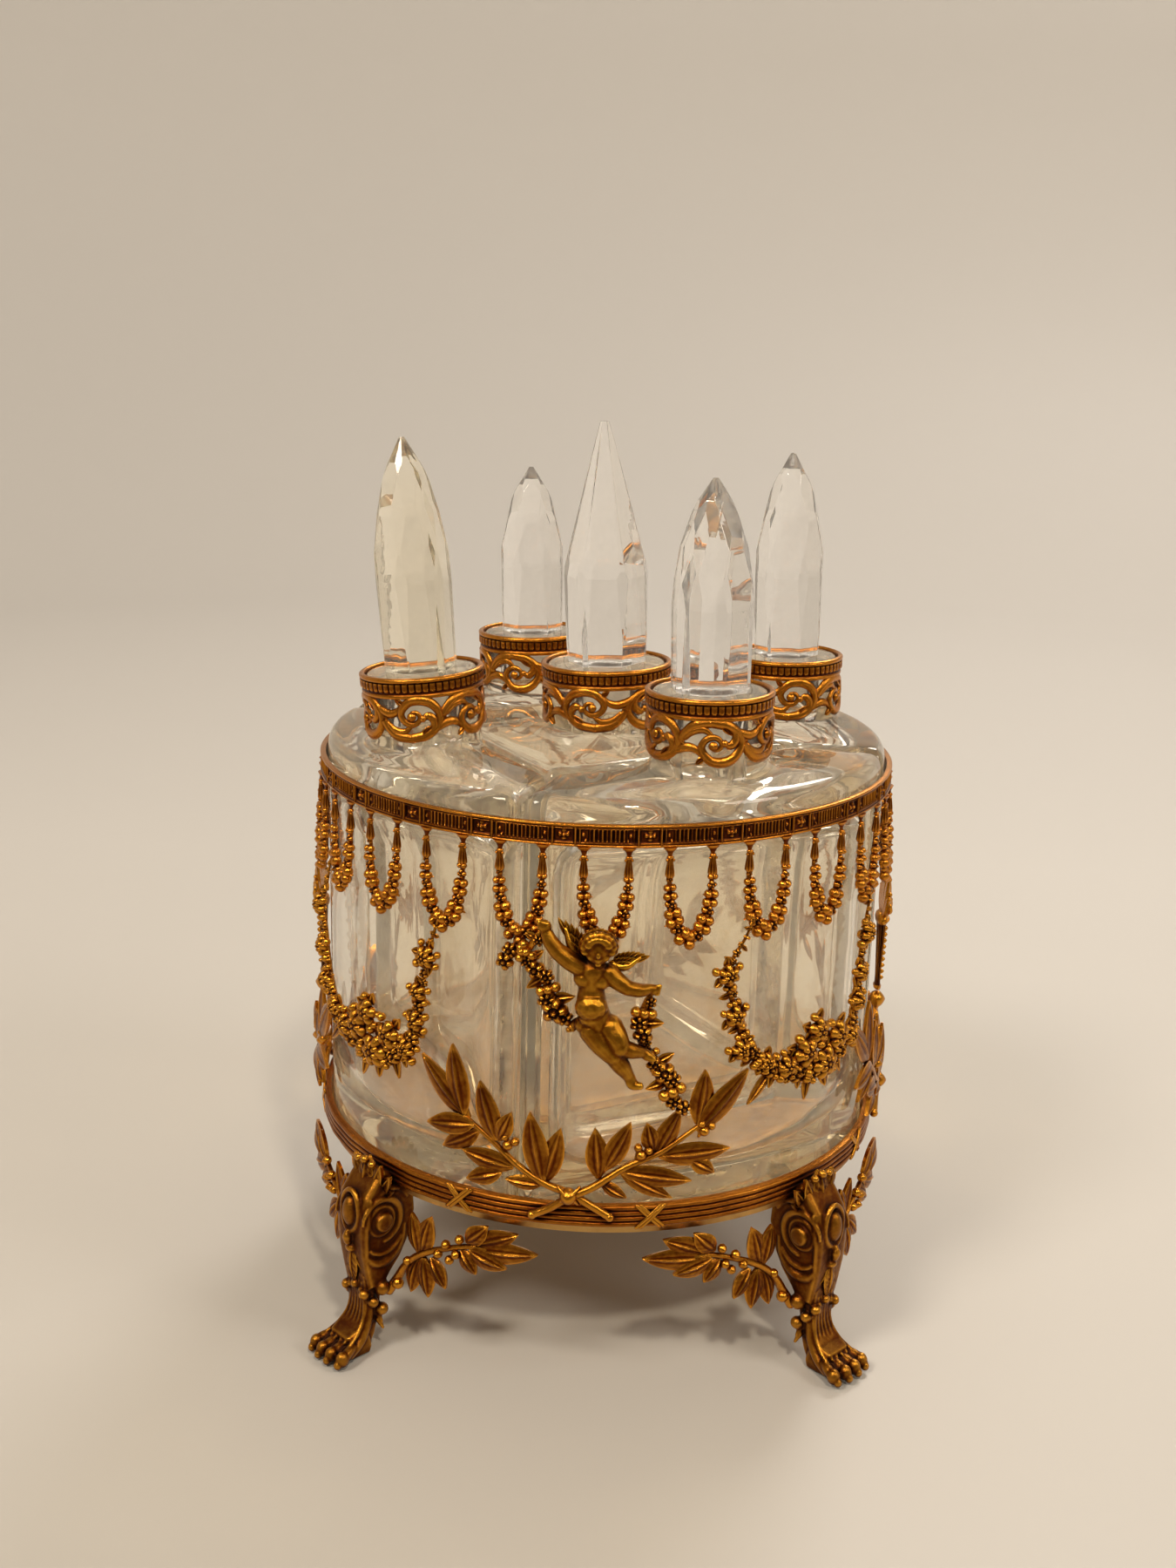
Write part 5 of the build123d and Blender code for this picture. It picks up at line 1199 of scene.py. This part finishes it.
def stopper(name, b):
    o, xd, yd, zd = neck_frame(b)
    t = math.radians(b["turn"])
    sx = xd * math.cos(t) + yd * math.sin(t)
    sy = np.cross(zd, sx)
    lip = COLLAR_H - LIP_DROP + 0.05
    h, a0, a1 = b["stop_h"], 0.5 * b["w0"] * 1.0, 0.5 * b["w1"] * 1.07
    a0 = max(min(a0, 0.96 * a1), 0.88 * a1)
    planes = [((0, 0, -1.0), 0.0), ((0, 0, 1.0), h)]
    if name == "centre":
        tiers = [(0, a0, 0.0, a1, 0.37), (0, a1, 0.37, 0.10 * a1, 1.0), (30, 1.05 * a1, 0.0, 1.06 * a1, 0.40), (30, 1.03 * a1, 0.42, 0.72 * a1, 0.62)]
    else:
        tiers = [(0, a0, 0.0, a1, 0.40), (0, a1, 0.40, 0.885 * a1, 0.60), (30, 1.04 * a1, 0.05, 1.05 * a1, 0.42), (30, 1.0 * a1, 0.56, 0.76 * a1, 0.745),
                 (0, 0.80 * a1, 0.70, 0.44 * a1, 0.885), (30, 0.50 * a1, 0.875, 0.12 * a1, 0.985), (0, 0.46 * a1, 0.885, 0.10 * a1, 0.99)]
    for turn, ra, fa, rb, fb in tiers:
        nr, nz = (fb - fa) * h, ra - rb
        size = math.hypot(nr, nz)
        for q in range(6):
            t = math.radians(turn + 60 * q)
            planes.append((((nr / size) * math.cos(t), (nr / size) * math.sin(t), nz / size), (nr * ra + nz * fa * h) / size))
    k = 48
    a = np.linspace(0, 2 * math.pi, k, endpoint=False)
    plug = Shape()
    plug.loops([np.stack([r * np.cos(a), r * np.sin(a), np.full(k, z)], 1) for z, r in
                ((-10.0, 3.9), (-9.8, 4.6), (-9.3, 4.95), (-8.0, 5.05), (-4.0, 5.1), (-0.6, 5.12), (1.0, 5.12), (2.0, 5.0))])
    pm = bpy.data.meshes.new("plug_work_" + name)
    pm.from_pydata(plug.array().tolist(), [], plug.faces)
    bm = bmesh.new()
    bm.from_mesh(pm)
    bmesh.ops.recalc_face_normals(bm, faces=bm.faces)
    bm.to_mesh(pm)
    bm.free()
    po = bpy.data.objects.new("plug_work_" + name, pm)
    SCENE.collection.objects.link(po)
    # edges polished off a little; a smaller amount is taken where the facets are too small for it
    for polish in (0.13, 0.09, 0.05, 0.02, 0.0):
        bm = bmesh.new()
        for p in block_corners(planes):
            bm.verts.new(p)
        bmesh.ops.convex_hull(bm, input=bm.verts)
        bmesh.ops.delete(bm, geom=[v for v in bm.verts if not v.link_faces], context="VERTS")
        bmesh.ops.dissolve_limit(bm, angle_limit=math.radians(1.0), verts=bm.verts, edges=bm.edges)
        bmesh.ops.recalc_face_normals(bm, faces=bm.faces)
        if polish:
            bmesh.ops.bevel(bm, geom=list(bm.edges), offset=polish, segments=2, affect="EDGES", profile=0.5, clamp_overlap=True)
        me = bpy.data.meshes.new("stopper_work_" + name)
        bm.to_mesh(me)
        bm.free()
        head = bpy.data.objects.new("stopper_work_" + name, me)
        SCENE.collection.objects.link(head)
        m = head.modifiers.new("join", "BOOLEAN")
        m.operation = "UNION"
        m.object = po
        m.solver = "EXACT"
        bpy.context.view_layer.update()
        done = bpy.data.meshes.new_from_object(head.evaluated_get(bpy.context.evaluated_depsgraph_get()))
        high = [v.co.z for v in done.vertices]
        if high and max(high) > 0.95 * h and min(high) < -9.5:
            break
        bpy.data.objects.remove(head)
    n = len(done.vertices)
    co = np.empty(n * 3)
    done.vertices.foreach_get("co", co)
    co = co.reshape(-1, 3)
    world = (o + co[:, :1] * sx + co[:, 1:2] * sy + (co[:, 2:] + lip) * zd) * MM
    done.vertices.foreach_set("co", world.ravel())
    done.materials.clear()
    done.materials.append(stopper_glass_yellow if name == "left" else stopper_glass)
    done.materials.append(ground_glass)
    done.polygons.foreach_set("use_smooth", np.zeros(len(done.polygons), bool))
    for p in done.polygons:
        z = sum(co[v][2] for v in p.vertices) / len(p.vertices)
        if z < -0.03:
            p.material_index = 1
            p.use_smooth = True
        else:
            p.material_index = 0
    done.update()
    bpy.data.objects.remove(head)
    bpy.data.objects.remove(po)
    done.name = "stopper_glass_" + name
    place("stopper_glass_" + name, done, "stopper_" + name + "_body", ["stopper_" + name])


for name, b in BOTTLES.items():
    stopper(name, b)

# ------------------------------------------------------- floor, light, camera
floor_mat = Nodes("floor_pale")
fb = floor_mat.add("ShaderNodeBsdfPrincipled", Roughness=0.55)
side = floor_mat.add("ShaderNodeSeparateXYZ")
floor_mat.link(floor_mat.coord.outputs["Object"], side.inputs[0])
# the floor and its wall are darker towards the camera side (-Y): painted shade standing for a dim room in front, so the
# metal reflects dark there
shade = floor_mat.ramp(floor_mat.span(side.outputs["Y"], -1.3, 0.3, 0.0, 1.0), [(0.0, (0.17, 0.15, 0.13)), (0.52, (0.22, 0.197, 0.172)), (0.745, (0.55, 0.52, 0.475)), (1.0, (0.65, 0.62, 0.575))])
floor_mat.link(shade, fb.inputs["Base Color"])
floor_mat.link(fb.outputs[0], floor_mat.out.inputs[0])
# floor that curves up into a wall all round, seamless and plain
sweep = [(0.0, 0.0), (0.3, 0.0), (0.6, 0.0), (0.95, 0.0)]
sweep += [(0.95 + 0.45 * math.sin(t), 0.45 - 0.45 * math.cos(t)) for t in np.linspace(0.08, math.pi / 2, 14)]
sweep += [(1.40, 0.9), (1.40, 1.5)]
back = Shape()
turns = np.linspace(0, 2 * math.pi, 128, endpoint=False)
back.points.append(np.array([[max(r, 0.001) * math.cos(t), max(r, 0.001) * math.sin(t), z] for r, z in sweep for t in turns]))
ring_ids = np.arange(len(sweep) * 128).reshape(len(sweep), 128)
for i in range(len(sweep) - 1):
    a, c = ring_ids[i], ring_ids[i + 1]
    back.faces += np.stack([a, np.roll(a, -1), np.roll(c, -1), c], -1).tolist()
back.faces.append(ring_ids[0][::-1].tolist())
fm = bpy.data.meshes.new("floor")
fm.from_pydata(back.array().tolist(), [], back.faces)
fm.polygons.foreach_set("use_smooth", np.ones(len(fm.polygons), bool))
fm.materials.append(floor_mat.mat)
floor = bpy.data.objects.new("floor", fm)
floor.location = (0, 0, -0.00005)
SCENE.collection.objects.link(floor)

world = bpy.data.worlds.new("studio")
SCENE.world = world
world.use_nodes = True
wt = world.node_tree
wt.nodes.clear()
wo = wt.nodes.new("ShaderNodeOutputWorld")
bg = wt.nodes.new("ShaderNodeBackground")
tc = wt.nodes.new("ShaderNodeTexCoord")
sep = wt.nodes.new("ShaderNodeSeparateXYZ")
ramp = wt.nodes.new("ShaderNodeValToRGB")
mr = wt.nodes.new("ShaderNodeMapRange")
mr.inputs["From Min"].default_value = -1.0
mr.inputs["From Max"].default_value = 1.0
wt.links.new(tc.outputs["Generated"], sep.inputs[0])
wt.links.new(sep.outputs["Y"], mr.inputs["Value"])
wt.links.new(mr.outputs["Result"], ramp.inputs["Fac"])
stops = [(0.0, (0.12, 0.095, 0.075, 1)), (0.35, (0.16, 0.13, 0.105, 1)), (0.62, (0.50, 0.44, 0.37, 1)), (0.85, (0.66, 0.60, 0.52, 1))]
while len(ramp.color_ramp.elements) < len(stops):
    ramp.color_ramp.elements.new(0.5)
for e, (pos, col) in zip(ramp.color_ramp.elements, stops):
    e.position = pos
    e.color = col
wt.links.new(ramp.outputs["Color"], bg.inputs["Color"])
bg.inputs["Strength"].default_value = 0.85
wt.links.new(bg.outputs[0], wo.inputs[0])


def area(name, where, target, size, power, colour):
    d = bpy.data.lights.new(name, "AREA")
    d.shape = "DISK"
    d.size = size
    d.energy = power
    d.color = colour
    o = bpy.data.objects.new(name, d)
    SCENE.collection.objects.link(o)
    o.location = where
    o.rotation_euler = (Vector(target) - Vector(where)).to_track_quat("-Z", "Y").to_euler()
    return o


area("key", (-0.75, -0.85, 1.25), (0, 0, 0.08), 0.45, 12.6, (1.0, 0.91, 0.79))
area("fill", (1.0, -0.45, 0.85), (0, 0, 0.08), 0.5, 4.6, (1.0, 0.93, 0.84))
area("rim", (0.45, 1.0, 1.1), (0, 0, 0.1), 0.5, 7.6, (1.0, 0.95, 0.90))
area("lamp_small", (0.18, -0.75, 0.95), (0, 0, 0.09), 0.09, 4.6, (1.0, 0.88, 0.70))

camera = bpy.data.cameras.new("camera")
camera.lens = 40.0
camera.sensor_width = 36.0
camera.sensor_fit = "AUTO"
camera.clip_start = 0.01
cam = bpy.data.objects.new("camera", camera)
SCENE.collection.objects.link(cam)
eye = Vector((0.00270, -0.37120, 0.21110))
forward = Vector((-0.01685, 0.96555, -0.25966)).normalized()
right = Vector((0.99985, 0.01745, 0.0)).normalized()
up = right.cross(forward).normalized()
roll = math.radians(1.40)
cr = right * math.cos(roll) + up * math.sin(roll)
cu = -right * math.sin(roll) + up * math.cos(roll)
m = Matrix.Identity(4)
for i in range(3):
    m[i][0], m[i][1], m[i][2], m[i][3] = cr[i], cu[i], -forward[i], eye[i]
cam.matrix_world = m
SCENE.camera = cam

SCENE.view_settings.view_transform = "Standard"
SCENE.view_settings.exposure = 0.0
SCENE.cycles.max_bounces = 24
SCENE.cycles.transmission_bounces = 22
SCENE.cycles.glossy_bounces = 8
SCENE.cycles.transparent_max_bounces = 16
SCENE.cycles.sample_clamp_indirect = 6.0
